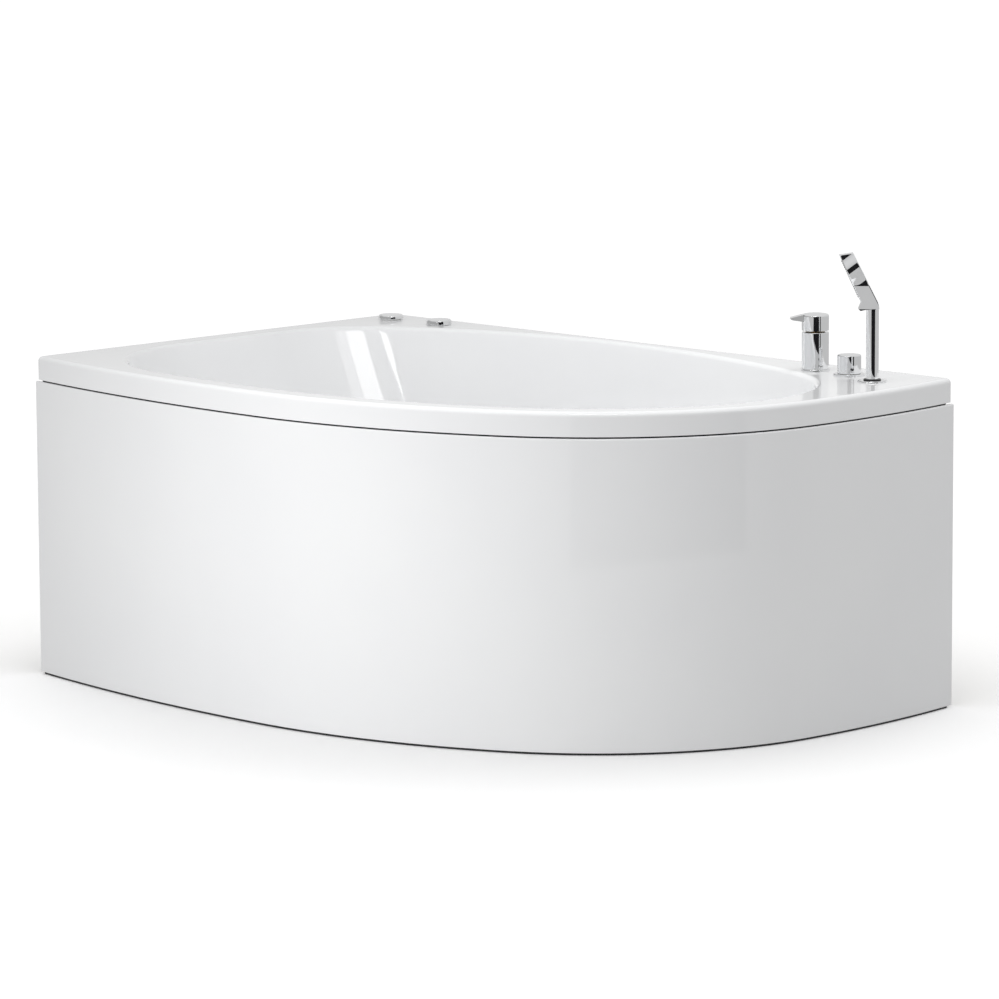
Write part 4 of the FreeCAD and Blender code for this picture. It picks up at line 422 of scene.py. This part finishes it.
def metres(plan, z):
    """Place in the finished frame of a spot in plan and its height."""
    return Vector(((plan.x - MIDDLE.x) / 1000, (plan.y - MIDDLE.y) / 1000, z / 1000))


def straight(start, end, count):
    """Points from a start up to, but not at, an end."""
    return [start.lerp(end, index / count) for index in range(count)]


def curved(arcs, counts, inset=0.0):
    """Points along arcs that follow each other, without the end of the last."""
    return [spot for arc, count in zip(arcs, counts) for spot in arc.points(count, inset)]


def tangent_inside(arc, radius, x):
    """Centre of a small arc that touches a large one from inside, and the heading there."""
    drop = math.sqrt((arc.radius - radius) ** 2 - (x - arc.centre.x) ** 2)
    centre = Vector((x, arc.centre.y - drop))
    return centre, heading_of(centre - arc.centre)


def basin_ring(side, head):
    """Basin in plan at an inset of its sides and of its backrest, always of as many points."""
    rim, left, back = FRONT_RIM + side, LEFT_RIM + head, -BACK_RIM - side
    tap_arc = Arc(TAP_CORNER, BACK_RIGHT - side, JOIN, TURN)
    place = tap_arc.point(TURN)
    radius = (back - place.y) / step(TURN, 180)[1]
    right_arc = Arc(place - unit(TURN) * radius, radius, TURN, 180)
    middle = right_arc.centre.x
    radius = (left - middle - BACK_LEFT * step(FAR, 270)[0]) / step(180, FAR)[0]
    left_arc = Arc(Vector((middle, back - radius)), radius, 180, FAR)
    corner = Arc(left_arc.point(FAR) - unit(FAR) * BACK_LEFT, BACK_LEFT, FAR, 270)
    front = FRONT.within(rim)
    centre, front.start = tangent_inside(front, FRONT_LEFT - side, left + FRONT_LEFT - side)
    near = Arc(centre, FRONT_LEFT - side, -90, front.start)
    arcs = (near, front, SHOULDER.within(rim), NOSE.within(rim, end=JOIN), tap_arc, right_arc,
            left_arc, corner)
    return curved(arcs, BASIN_COUNTS) + straight(corner.point(270), near.point(-90),
                                                 BASIN_LEFT_COUNT)


def outer_ring(inset):
    """Plan of the whole bath at an inset, with its three upright corners rounded."""
    radius = CORNER - inset
    front = FRONT.within(inset)
    centre, front.start = tangent_inside(front, radius, CORNER)
    near = Arc(centre, radius, -90, front.start)
    reach = math.sqrt((END.radius - CORNER) ** 2 - (-CORNER - END.centre.y) ** 2)
    far_centre = Vector((END.centre.x + reach, -CORNER))
    meet = heading_of(far_centre - END.centre)
    far = Arc(far_centre, radius, meet, 180)
    room = Arc(Vector((CORNER, -CORNER)), radius, 180, 270)
    arcs = (near, front, SHOULDER.within(inset), NOSE.within(inset), END.within(inset, end=meet),
            far)
    return (curved(arcs, OUTER_COUNTS) + straight(far.point(180), room.point(180), BACK_COUNT)
            + room.points(OUTER_COUNTS[0]) + straight(room.point(270), near.point(-90), LEFT_COUNT))


# ---------------------------------------------------------------- mesh helpers

# Distance in metres below which corners of a mesh are one: own meshes, and CAD triangles.
OWN_WELD, CAD_WELD = 0.00002, 0.000002
# The same in millimetres, for loops in plan.
PLAN_WELD = 1e-6


def new_piece(name, mesh, body, *stands_for):
    """Object that rides on a body and stands for CAD nodes."""
    thing = in_scene(name, mesh)
    if stands_for:
        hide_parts(*stands_for)
    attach(thing, body)


def shape_mesh(name, verts, faces, *materials, edges=()):
    """Mesh of corners and faces, or of corners and edges."""
    mesh = bpy.data.meshes.new(name)
    mesh.from_pydata([tuple(spot) for spot in verts], list(edges), faces)
    for material in materials:
        mesh.materials.append(material)
    mesh.update()
    return mesh


def weld(mesh, distance, flat=None):
    """Merge the doubles of a mesh and, where an angle is given, faces that are flat to it."""
    work = bmesh.new()
    work.from_mesh(mesh)
    bmesh.ops.remove_doubles(work, verts=work.verts, dist=distance)
    if flat:
        bmesh.ops.dissolve_limit(work, angle_limit=math.radians(flat), verts=work.verts,
                                 edges=work.edges)
    work.to_mesh(mesh)
    work.free()


def finished(holder, name):
    """Plain mesh of a holder as its modifiers leave it; the holder is removed."""
    seen = holder.evaluated_get(bpy.context.evaluated_depsgraph_get())
    made = bpy.data.meshes.new_from_object(seen)
    holder.modifiers.clear()
    bpy.data.objects.remove(holder)
    made.name = name
    return made


def with_modifier(mesh, kind, **settings):
    """The mesh after one modifier."""
    holder = in_scene("holder", mesh)
    modifier = holder.modifiers.new(kind, kind)
    for key, value in settings.items():
        setattr(modifier, key, value)
    return finished(holder, mesh.name)


def soften(mesh, sharp=35.0):
    """Smooth shading with sharp edges above an angle, led by the large faces."""
    mesh.polygons.foreach_set("use_smooth", [True] * len(mesh.polygons))
    mesh.set_sharp_from_angle(angle=math.radians(sharp))
    return with_modifier(mesh, "WEIGHTED_NORMAL", keep_sharp=True, weight=50)


def loft(rows, count, offset=0):
    """Faces between closed rings of equally many points."""
    faces = []
    for row in range(rows - 1):
        a, b = offset + row * count, offset + (row + 1) * count
        for index in range(count):
            after = (index + 1) % count
            faces.append((a + index, a + after, b + after, b + index))
    return faces


def inside(spot, loop):
    """Whether a plan spot lies inside a closed loop."""
    hit = False
    for a, b in zip(loop, loop[1:] + loop[:1]):
        if (a.y > spot.y) != (b.y > spot.y):
            if spot.x < (b.x - a.x) * (spot.y - a.y) / (b.y - a.y) + a.x:
                hit = not hit
    return hit


def flat_fill(outer, inner_loops):
    """Upward triangles of the plane between an outer loop and the loops inside it."""
    points, edges = [], []
    for loop in [outer] + inner_loops:
        base, count = len(points), len(loop)
        points += loop
        edges += [(base + index, base + (index + 1) % count) for index in range(count)]
    spots, _, faces, *_ = delaunay_2d_cdt(points, edges, [], 0, PLAN_WELD)
    kept = []
    for face in faces:
        a, b, c = (spots[index] for index in face)
        middle = (a + b + c) / 3
        if inside(middle, outer) and not any(inside(middle, loop) for loop in inner_loops):
            kept.append(face if (b - a).cross(c - a) > 0 else face[::-1])
    return spots, kept


def circle(centre, radius, count=ROUND_COUNT):
    """Closed ring of points in plan."""
    return [centre + unit(360 * index / count) * radius for index in range(count)]


# ---------------------------------------------------------------- tub and apron


class Wall:
    """Inset of a basin wall by height, with the lip above it and the bend into the floor below."""

    def __init__(self, run):
        self.run = run
        lean = run(1.0)
        self.lip_back = LIP * (math.hypot(1, lean) - lean)
        self.lip_low = HEIGHT - LIP + LIP * math.sin(math.atan(lean))
        low, high = run(DEPTH), run(DEPTH) + BEND
        heights = [FLOOR + SEARCH_STEP * index for index in range(int(2 * BEND / SEARCH_STEP))]
        for _ in range(HALVINGS):
            self.foot = (low + high) / 2
            near = [(math.hypot(self.foot - run(HEIGHT - z), FLOOR + BEND - z), z)
                    for z in heights]
            gap, self.bend_top = min(near)
            if gap < BEND:
                low = self.foot
            else:
                high = self.foot

    def inset(self, z):
        """How far in the wall stands at a height."""
        if z >= self.lip_low:
            return math.sqrt(max(LIP ** 2 - (z - HEIGHT + LIP) ** 2, 0)) - self.lip_back
        if z <= self.bend_top:
            return self.foot - math.sqrt(max(BEND ** 2 - (FLOOR + BEND - z) ** 2, 0))
        return self.run(HEIGHT - z)


def side_run(depth):
    """Inset of the sides at a depth."""
    return SIDE_RUN * depth / DEPTH


def head_run(depth):
    """Inset of the backrest at a depth: a curve through its middle and its foot."""
    share = depth / DEPTH
    return HEAD_RUN * (share * (4 * HEAD_MIDDLE - 1) + share ** 2 * (2 - 4 * HEAD_MIDDLE))


def basin_rows():
    """Rings of the basin from the deck's lip to the edge of its floor."""
    side, head = Wall(side_run), Wall(head_run)
    heights = [HEIGHT - LIP + LIP * math.sin(math.radians(angle)) for angle in LIP_ANGLES]
    heights += [head.lip_low - 1, side.lip_low - 1, *UPPER_ROWS, *MIDDLE_ROWS]
    heights += [FLOOR + BEND * (1 - math.sin(math.radians(angle))) for angle in BEND_ANGLES]
    return [(basin_ring(side.inset(z), head.inset(z)), z) for z in heights]


def rim_rows():
    """Rings of the bath's outside, up the rim and over its rounded edge."""
    edge_low = HEIGHT - RIM_EDGE
    rim = [(0, HEIGHT - SKIRT)] + [(0, edge_low - drop) for drop in RIM_DROPS]
    for angle in map(math.radians, QUARTER):
        rim.append((RIM_EDGE * (1 - math.cos(angle)), edge_low + RIM_EDGE * math.sin(angle)))
    return [(outer_ring(inset), z) for inset, z in rim]


def tub_mesh():
    """Skin of the tub, thickened downwards, with its reinforced back in a second material."""
    verts, faces = [], []
    rings, rows = rim_rows(), basin_rows()
    for loops in (rings, rows):
        faces += loft(len(loops), len(loops[0][0]), len(verts))
        for ring, z in loops:
            verts += [metres(spot, z) for spot in ring]
    holes = [circle(centre, radius, DECK_HOLE_COUNT) for centre, radius in DECK_HOLES]
    fills = ((rings[-1][0], [rows[0][0]] + holes, HEIGHT),
             (rows[-1][0], [circle(TAP_CORNER, DRAIN_RECESS)], FLOOR))
    for outer, loops, z in fills:
        base = len(verts)
        spots, triangles = flat_fill(outer, loops)
        verts += [metres(spot, z) for spot in spots]
        faces += [tuple(base + index for index in face) for face in triangles]
    mesh = shape_mesh("tub_skin", verts, faces, FINISHES["acrylic"], GLASS_FIBRE)
    weld(mesh, OWN_WELD)
    return soften(with_modifier(mesh, "SOLIDIFY", thickness=SHELL / 1000, offset=-1,
                                use_even_offset=True, material_offset=1, material_offset_rim=0))


def recess_mesh():
    """Shallow recess round the drain."""
    steps = ((DRAIN_RECESS, FLOOR), (DRAIN_RECESS, FLOOR - RECESS_DEPTH),
             (DRAIN_HOLE, FLOOR - RECESS_DEPTH), (DRAIN_HOLE, FLOOR - SHELL),
             (DRAIN_RECESS, FLOOR - SHELL))
    verts = [metres(spot, z) for radius, z in steps for spot in circle(TAP_CORNER, radius)]
    faces = loft(len(steps), ROUND_COUNT)
    return soften(shape_mesh("drain_recess", verts, faces, FINISHES["acrylic"]))


def apron_profile():
    """Section of the apron as insets and heights, up its face and down its back."""
    out, back = -APRON_PROUD, APRON_SKIN - APRON_PROUD
    chamfer, straight_end = 0.6, 20
    profile = [(back, APRON_LOW), (out + chamfer, APRON_LOW), (out, APRON_LOW + chamfer),
               (out, APRON_LOW + straight_end), (out, APRON_TOP / 2),
               (out, APRON_TOP - straight_end)]
    for angle in map(math.radians, QUARTER):
        profile.append((out + APRON_EDGE * (1 - math.cos(angle)),
                        APRON_TOP - APRON_EDGE * (1 - math.sin(angle))))
    return profile + [(back, APRON_TOP), (back, APRON_TOP / 2)]


def apron_mesh():
    """Bowed apron panel with a rounded top edge, cut off at both walls."""
    profile = apron_profile()
    stations = [(arc, arc.start + (arc.end - arc.start) * index / count)
                for arc, count in zip(FRONT_ARCS, APRON_COUNTS) for index in range(count)]
    stations.append((END, END.end))
    verts = []
    for arc, heading in stations:
        for inset, z in profile:
            spot = arc.point(heading, inset)
            verts.append(metres(Vector((max(spot.x, 0), min(spot.y, 0))), z))
    count = len(profile)
    faces = [(a, d, c, b) for a, b, c, d in loft(len(stations), count)]
    faces += [tuple(range(count)), tuple(len(verts) - 1 - index for index in range(count))]
    return soften(shape_mesh("apron_skin", verts, faces, FINISHES["acrylic"]))


new_piece("tub", tub_mesh(), "bath", "tub_shell")
new_piece("drain_recess", recess_mesh(), "bath")
new_piece("apron", apron_mesh(), "bath", "front_apron")

# ---------------------------------------------------------------- round and small pieces

SLOTS = {part["node"]: part["material_slot"] for part in frame["record"]["subparts"]}
BODY_OF = {node: body for body, members in frame["record"]["behaviour"]["bodies"].items()
           for node in members}
# Nodes that get a smooth copy, and the rounding of its edges in mm.
POLISHED = {
    "mixer_base_ring": 0.4, "mixer_body": 0.5, "mixer_lever": 0.5, "diverter_flange": 0.4,
    "diverter_knob": 0.7, "handset_flange": 0.4, "handset": 0.8, "handset_guide": 0.2,
    "spray_plate": 0.2, "air_switch_button": 0.6, "air_regulator_knob": 0.6,
    "overflow_knob": 0.6, "drain_strainer": 0.3, "drain_plug": 0.4, "air_nozzles": 0.3,
    "mixer_cartridge": 0, "cartridge_nut": 0, "cartridge_rotor": 0, "lever_pin": 0,
    "diverter_valve": 0.3, "deck_nuts": 0.3, "supply_tails": 0, "link_pipe": 0,
    "filler_pipe": 0, "overflow_body": 0.4, "overflow_pipe": 0, "drain_trap": 0.4,
    "drain_neck": 0.3, "trap_nut": 0.3, "outlet_pipe": 0, "waste_gaskets": 0,
    "air_switch_body": 0.2, "air_regulator_body": 0.2, "pilot_tubes": 0, "air_hose": 0,
    "blower": 0.8, "cable_gland": 0.2, "air_duct": 0.6, "foot_lock_nuts": 0.4,
    "frame_bolts": 0.3,
}
# Angles in degrees: faces flatter than the first are merged, edges above the second are
# rounded, and edges above the third stay sharp to the eye.
FLAT, ROUNDED_ABOVE, SHARP_ABOVE = 0.3, 40, 32.0


def polish(name, material, edge):
    """Smooth copy of a CAD node, with its edges broken by a small round where asked."""
    mesh = nodes[name].data.copy()
    mesh.name = name + "_smooth"
    weld(mesh, CAD_WELD, FLAT)
    mesh.materials.clear()
    mesh.materials.append(material)
    if edge:
        mesh = with_modifier(mesh, "BEVEL", width=edge / 1000, segments=3, limit_method="ANGLE",
                             angle_limit=math.radians(ROUNDED_ABOVE), use_clamp_overlap=True,
                             harden_normals=False)
    new_piece(name + "_smooth", soften(mesh, SHARP_ABOVE), BODY_OF[name], name)


def to_the_right(plan):
    """How far right of the frame's origin a plan spot lies, as the camera sees it."""
    spot = metres(plan, 0)
    return spot.x * RIGHT[0] + spot.y * RIGHT[1]


# In metres: where the lever's tongue begins, to the right, and how soft that edge is.
LEVER_ROOT, ROOT_BLEND = to_the_right(MIXER) - 0.0222, 0.001
# In metres: heights on the handset's blade, and how soft the edges between its zones are.
BLADE_LOW, BLADE_MIDDLE, DARK_LINE = 0.754, 0.8, 0.830
LOW_BLEND, MIDDLE_BLEND = 0.002, 0.003
# How fast the wave on the blade turns with height and to the right. It starts so that it is
# at rest at the dark line's height, this far left of the stem.
WAVE_TURN, WAVE_SLANT, LINE_LEFT = 80.0, -60.0, 0.035
WAVE_START = -WAVE_TURN * DARK_LINE - WAVE_SLANT * (to_the_right(HANDSET) - LINE_LEFT)
SPECIAL = {
    "mixer_lever": pressed_chrome(
        "lever_chrome", [(1, 0, LEVER_ROOT, LEVER_ROOT - ROOT_BLEND)],
        Lean_Right=-0.3, Lean_Up=0.12),
    "handset": pressed_chrome(
        "blade_chrome",
        [(0, 1, BLADE_LOW, BLADE_LOW + LOW_BLEND),
         (0, 1, BLADE_MIDDLE + MIDDLE_BLEND, BLADE_MIDDLE - MIDDLE_BLEND)],
        [(0, 1, BLADE_MIDDLE - MIDDLE_BLEND, BLADE_MIDDLE + MIDDLE_BLEND)],
        Lean_Right=-0.26, Wave=0.45, Wave_Turn=WAVE_TURN, Wave_Slant=WAVE_SLANT,
        Wave_Start=WAVE_START),
    "foot_stud": threaded("threaded_stud", FINISHES["galvanised"], pitch=0.00175),
}


def finish_nodes():
    """Give every CAD node its finish, and put smooth copies in the place of the round ones."""
    for name, node in nodes.items():
        kind = "foot_stud" if name.startswith("foot_stud") else name
        material = SPECIAL.get(kind, FINISHES[SLOTS[name]])
        if name in POLISHED or name.startswith("foot_"):
            polish(name, material, POLISHED.get(name, 0))
        else:
            node.data.materials.clear()
            node.data.materials.append(material)


finish_nodes()

# ---------------------------------------------------------------- repeats and strips


def geometry_tree(name, inputs):
    """Geometry tree with a mesh, named inputs of a kind and a value, and a material."""
    tree = bpy.data.node_groups.new(name, "GeometryNodeTree")
    sockets = tree.interface
    sockets.new_socket(name="Geometry", in_out="INPUT", socket_type="NodeSocketGeometry")
    for label, kind, value in inputs:
        socket = sockets.new_socket(name=label, in_out="INPUT", socket_type=kind)
        socket.default_value = value
    sockets.new_socket(name="Material", in_out="INPUT", socket_type="NodeSocketMaterial")
    sockets.new_socket(name="Geometry", in_out="OUTPUT", socket_type="NodeSocketGeometry")
    return tree, tree.nodes.new("NodeGroupInput"), tree.nodes.new("NodeGroupOutput")


def finish_tree(tree, geometry, given, out):
    """End of a geometry tree: real geometry, shaded smooth, in the given material."""
    for kind in ("RealizeInstances", "SetShadeSmooth", "SetMaterial"):
        node = tree.nodes.new("GeometryNode" + kind)
        link(tree, (geometry, node.inputs["Geometry"]))
        geometry = node.outputs["Geometry"]
    link(tree, (given.outputs["Material"], node.inputs["Material"]),
         (geometry, out.inputs["Geometry"]))


def grown(tree, mesh, **values):
    """Plain mesh that a tree makes of a mesh, with the tree's inputs set by identifier."""
    holder = in_scene("holder", mesh)
    modifier = holder.modifiers.new("tree", "NODES")
    modifier.node_group = tree
    for item in tree.interface.items_tree:
        key = item.name.replace(" ", "_")
        if item.in_out == "INPUT" and key in values:
            modifier[item.identifier] = values[key]
    return finished(holder, tree.name)


def cord_tree():
    """Round cord laid along the edges of a mesh."""
    tree, given, out = geometry_tree("foam_cord", [("Radius", "NodeSocketFloat", 0.004),
                                                   ("Sides", "NodeSocketInt", 10)])
    path = tree.nodes.new("GeometryNodeMeshToCurve")
    section = tree.nodes.new("GeometryNodeCurvePrimitiveCircle")
    sweep = preset(tree.nodes.new("GeometryNodeCurveToMesh"), Fill_Caps=True)
    link(tree, (given.outputs["Geometry"], path.inputs["Mesh"]),
         (given.outputs["Sides"], section.inputs["Resolution"]),
         (given.outputs["Radius"], section.inputs["Radius"]),
         (path.outputs["Curve"], sweep.inputs["Curve"]),
         (section.outputs["Curve"], sweep.inputs["Profile Curve"]))
    finish_tree(tree, sweep.outputs["Mesh"], given, out)
    return tree


def nub_tree():
    """Spray nubs in rows on a plate."""
    tree, given, out = geometry_tree("spray_nubs", [
        ("Length", "NodeSocketFloat", 0.072), ("Width", "NodeSocketFloat", 0.011),
        ("Rows", "NodeSocketInt", 19), ("Columns", "NodeSocketInt", 4),
        ("Nub Radius", "NodeSocketFloat", 0.0008), ("Nub Height", "NodeSocketFloat", 0.0009),
        ("Nub Taper", "NodeSocketFloat", 0.7), ("Nub Sides", "NodeSocketInt", 12)])
    values = given.outputs
    grid = tree.nodes.new("GeometryNodeMeshGrid")
    nub = tree.nodes.new("GeometryNodeMeshCone")
    place = tree.nodes.new("GeometryNodeInstanceOnPoints")
    top = calc(tree, "MULTIPLY", values["Nub Radius"], values["Nub Taper"])
    link(tree, (values["Length"], grid.inputs["Size X"]), (values["Width"], grid.inputs["Size Y"]),
         (values["Rows"], grid.inputs["Vertices X"]),
         (values["Columns"], grid.inputs["Vertices Y"]),
         (values["Nub Radius"], nub.inputs["Radius Bottom"]), (top, nub.inputs["Radius Top"]),
         (values["Nub Height"], nub.inputs["Depth"]),
         (values["Nub Sides"], nub.inputs["Vertices"]),
         (grid.outputs["Mesh"], place.inputs["Points"]),
         (nub.outputs["Mesh"], place.inputs["Instance"]))
    finish_tree(tree, place.outputs["Instances"], given, out)
    return tree


# Each end of a cord stops this far inside the tub's sheet, in mm.
CORD_END_GAP = 5


def front_cord(name, inset, z, radius):
    """Cord along the whole bowed front, kept clear of both walls."""
    clear = SHELL + CORD_END_GAP
    spots = curved(FRONT_ARCS, CORD_COUNTS, inset) + [END.point(END.end, inset)]
    spots = [metres(spot, z) for spot in spots if spot.x > clear and spot.y < -clear]
    edges = [(index, index + 1) for index in range(len(spots) - 1)]
    path = shape_mesh(name + "_path", spots, [], edges=edges)
    new_piece(name, grown(CORD, path, Radius=radius, Sides=10, Material=FINISHES["rubber"]),
              "bath")


# The spray plate: height of the blade's foot in mm, the heading it faces, and its lower and
# upper end, as millimetres out from the stem's axis and up from that foot.
STEM_TOP, PLATE_HEADING = HEIGHT + 142, 225
PLATE_LOW, PLATE_HIGH = (21.5, 4.3), (62.2, 92.8)


def spray_nubs():
    """Rubber nubs on the spray plate of the handset."""
    (low_x, low_z), (high_x, high_z) = PLATE_LOW, PLATE_HIGH
    heading, upward = math.radians(PLATE_HEADING), Vector(UP)
    ahead = Vector((math.cos(heading), math.sin(heading), 0))
    run = (ahead * (high_x - low_x) + upward * (high_z - low_z)).normalized()
    across = upward.cross(ahead)
    outward = run.cross(across)
    if outward.dot(ahead) < 0:
        across, outward = -across, -outward
    # Half the sum of both ends, in metres.
    reach = (ahead * (low_x + high_x) + upward * (low_z + high_z)) / 2000
    turn = Matrix((run, across, outward)).transposed().to_4x4()
    mesh = grown(nub_tree(), bpy.data.meshes.new("empty"), Material=FINISHES["black_plastic"])
    mesh.transform(Matrix.Translation(metres(HANDSET, STEM_TOP) + reach) @ turn)
    new_piece("spray_nubs", mesh, "hand_shower")


CORD = cord_tree()
# Black rubber cord in the gap under the rim: partly a seal, and partly painted shade that darkens
# the gap.
front_cord("joint_seal", inset=10.4, z=573.5, radius=0.0042)
# Black rubber cord under the apron's foot: partly a seal, and partly a painted contact shadow along
# the floor.
front_cord("floor_seal", inset=1.4, z=2.1, radius=0.0019)
spray_nubs()

# ---------------------------------------------------------------- room and light

WHITE = (1, 1, 1, 1)
GROUND_REACH = 30
# Distances in metres from the bath's middle between which the floor, as the camera sees it, goes
# from its near tone to its far one; the darker near tone is a painted shadow round the bath.
PAINTED_SHADOW_START, PAINTED_SHADOW_END = 0.55, 1.15
# The spot in the basin that the bright cards are aimed at, and how far away they are.
CARD_EYE, CARD_REACH = Vector((-0.62, 0.29, 0.55)), 3.2


def plain(name, colour, glow=0.0):
    """Matt stage material, glowing or not."""
    material, _, shader = new_material(name)
    preset(shader, Base_Color=(*colour, 1), Roughness=1.0, Specular_IOR_Level=0.0,
           Emission_Color=WHITE, Emission_Strength=glow)
    return material


def stage_mesh(name, verts, faces, material, seen=True):
    """Piece of the room, seen by all or by mirrors alone."""
    thing = in_scene(name, shape_mesh(name, verts, faces, material))
    thing.visible_camera = thing.visible_diffuse = thing.visible_shadow = seen
    return thing


def chosen(tree, ray, usual, special):
    """Shader that is a special one for one kind of ray, and the usual one for all others."""
    path = add(tree, "ShaderNodeLightPath")
    choose = add(tree, "ShaderNodeMixShader")
    link(tree, (path.outputs[ray], choose.inputs["Fac"]), (usual, choose.inputs[1]),
         (special, choose.inputs[2]))
    return choose.outputs["Shader"]


def floor_with_painted_shadow(near, far, real):
    """Floor that the camera sees lighter than the room does, so that its shadows show, and darker
    near the bath as a painted shadow.
    """
    material, tree, shader = new_material("pale_floor")
    tree.nodes.remove(shader)
    place = add(tree, "ShaderNodeTexCoord")
    away = add(tree, "ShaderNodeVectorMath", operation="LENGTH")
    # Painted shadow: the camera's tone of the floor rises from the near tone to the far one with
    # the distance from the bath's middle.
    level = preset(add(tree, "ShaderNodeMapRange", interpolation_type="SMOOTHSTEP"),
                   From_Min=PAINTED_SHADOW_START, From_Max=PAINTED_SHADOW_END, To_Min=near, To_Max=far)
    shown = add(tree, "ShaderNodeBsdfDiffuse")
    lit = preset(add(tree, "ShaderNodeBsdfDiffuse"), Color=(real, real, real, 1))
    both = chosen(tree, "Is Camera Ray", lit.outputs["BSDF"], shown.outputs["BSDF"])
    link(tree, (place.outputs["Object"], away.inputs[0]),
         (away.outputs["Value"], level.inputs["Value"]),
         (level.outputs["Result"], shown.inputs["Color"]),
         (both, tree.nodes["Material Output"].inputs["Surface"]))
    return material


def mirror_level(tree, left, right, far, above):
    """What mirrors see of the surround: two sides, the wall behind the bath, the ceiling."""
    place = add(tree, "ShaderNodeTexCoord")

    def share(way, start, end):
        """How much of a direction counts, rising between two of its cosines."""
        part = add(tree, "ShaderNodeVectorMath", operation="DOT_PRODUCT")
        part.inputs[1].default_value = way
        rise = preset(add(tree, "ShaderNodeMapRange", interpolation_type="SMOOTHSTEP"),
                      From_Min=start, From_Max=end)
        link(tree, (place.outputs["Generated"], part.inputs[0]),
             (part.outputs["Value"], rise.inputs["Value"]))
        return rise.outputs["Result"]

    def blend(amount, low, high):
        """Level between two, each a number or another output."""
        mix = add(tree, "ShaderNodeMix", data_type="FLOAT")
        link(tree, (amount, mix.inputs[0]))
        for socket, value in ((mix.inputs[2], low), (mix.inputs[3], high)):
            if isinstance(value, float):
                socket.default_value = value
            else:
                link(tree, (value, socket))
        return mix.outputs[0]

    sides = blend(share(RIGHT, start=-0.35, end=0.35), left, right)
    round_about = blend(share(AHEAD, start=0.45, end=0.85), sides, far)
    return blend(share(UP, start=0.35, end=0.75), round_about, above)


def surround(fill, **mirror_levels):
    """White world for the camera, a greyer one for mirrors and a soft fill for the rest."""
    world = bpy.data.worlds.new("studio")
    world.use_nodes = True
    tree = world.node_tree
    tree.nodes.remove(tree.nodes["Background"])
    usual, mirrored, shown = (
        preset(add(tree, "ShaderNodeBackground"), Color=WHITE, Strength=strength)
        for strength in (fill, 1.0, 1.0))
    light = chosen(tree, "Is Glossy Ray", usual.outputs["Background"],
                   mirrored.outputs["Background"])
    light = chosen(tree, "Is Camera Ray", light, shown.outputs["Background"])
    link(tree, (mirror_level(tree, **mirror_levels), mirrored.inputs["Strength"]),
         (light, tree.nodes["World Output"].inputs["Surface"]))
    bpy.context.scene.world = world
    bpy.context.scene.view_settings.view_transform = "Standard"


def ground():
    """Wide pale floor under the bath, with a painted shadow round the bath."""
    corners = [(GROUND_REACH * x, GROUND_REACH * y, 0)
               for x, y in ((-1, -1), (1, -1), (1, 1), (-1, 1))]
    # The near tone is a painted shadow round the bath; the far tone makes the floor white.
    return stage_mesh("ground", corners, [(0, 1, 2, 3)],
                      floor_with_painted_shadow(near=1.2, far=1.52, real=0.8))


def dark_wall(centre, reach, start, turn, panels, height):
    """Curved dark wall that only mirrors see, over a range of headings round a spot."""
    verts = []
    for index in range(panels + 1):
        angle = math.radians(start + turn * index / panels)
        spot = (centre[0] + reach * math.cos(angle), centre[1] + reach * math.sin(angle))
        verts += [(*spot, 0), (*spot, height)]
    faces = [(a, a + 2, a + 3, a + 1) for a in range(0, 2 * panels, 2)]
    stage_mesh("dark_wall", verts, faces, plain("dark_wall", (0.02, 0.02, 0.022)), seen=False)


def card(name, columns, glow):
    """Glowing card that only mirrors see, as columns of headings and elevations."""
    count, verts, faces = len(columns[0]), [], []
    for column in columns:
        for heading, elevation in column:
            turn, rise = math.radians(heading), math.radians(elevation)
            way = Vector((math.cos(turn) * math.cos(rise), math.sin(turn) * math.cos(rise),
                          math.sin(rise)))
            verts.append(CARD_EYE + way * CARD_REACH)
    for start in range(0, count * (len(columns) - 1), count):
        for row in range(start, start + count - 1):
            faces.append((row, row + count, row + count + 1, row + 1))
    stage_mesh(name, verts, faces, plain(name, (0, 0, 0), glow), seen=False)


def missed_by_lamps(thing):
    """Collection that leaves one stage piece out of the lamps' light."""
    missed = bpy.data.collections.new("lamps_miss_these")
    missed.objects.link(thing)
    missed.collection_objects[0].light_linking.link_state = "EXCLUDE"
    return missed


def lamp(name, place, target, size, power, spread):
    """Soft rectangular lamp aimed at a spot, which neither mirrors nor the floor see."""
    data = bpy.data.lights.new(name, "AREA")
    data.shape = "RECTANGLE"
    data.size, data.size_y = size
    data.energy = power
    data.spread = math.radians(spread)
    thing = in_scene(name, data)
    thing.location = place
    thing.rotation_euler = (Vector(target) - Vector(place)).to_track_quat("-Z", "Y").to_euler()
    thing.visible_glossy = False
    thing.light_linking.receiver_collection = UNLIT


surround(fill=0.7, left=0.4, right=0.66, far=0.72, above=0.74)
UNLIT = missed_by_lamps(ground())
dark_wall(centre=(0.5, 0.1), reach=2.4, start=-61, turn=67, panels=8, height=1.9)
lamp("key", place=(0.15, -2.4, 0.85), target=(0.08, -0.5, 0.38), size=(0.8, 0.8), power=3.0,
     spread=72)
lamp("above", place=(0.6, 0.0, 3.0), target=(0.4, 0.05, 0.3), size=(1.4, 0.9), power=4.8,
     spread=70)
WINDOW_EDGE = [(-26, 35), (-25, 36), (-24, 37.5), (-23, 39.5)]
card("window", [[(-57, 29), (-50, 30.5), (-45, 33), (-44, 37)],
                [(-38, 32.5), (-36, 33.5), (-34, 36), (-32, 38.8)], WINDOW_EDGE], glow=6)
card("window_side", [WINDOW_EDGE, [(-14, 36.5), (-12, 37.2), (-11, 38.2), (-10, 40)]], glow=2.6)
card("slit", [[(-70.5, 25.2), (-66, 28), (-63, 31.5)],
              [(-67.5, 25.2), (-63, 28), (-61, 31.5)]], glow=7)
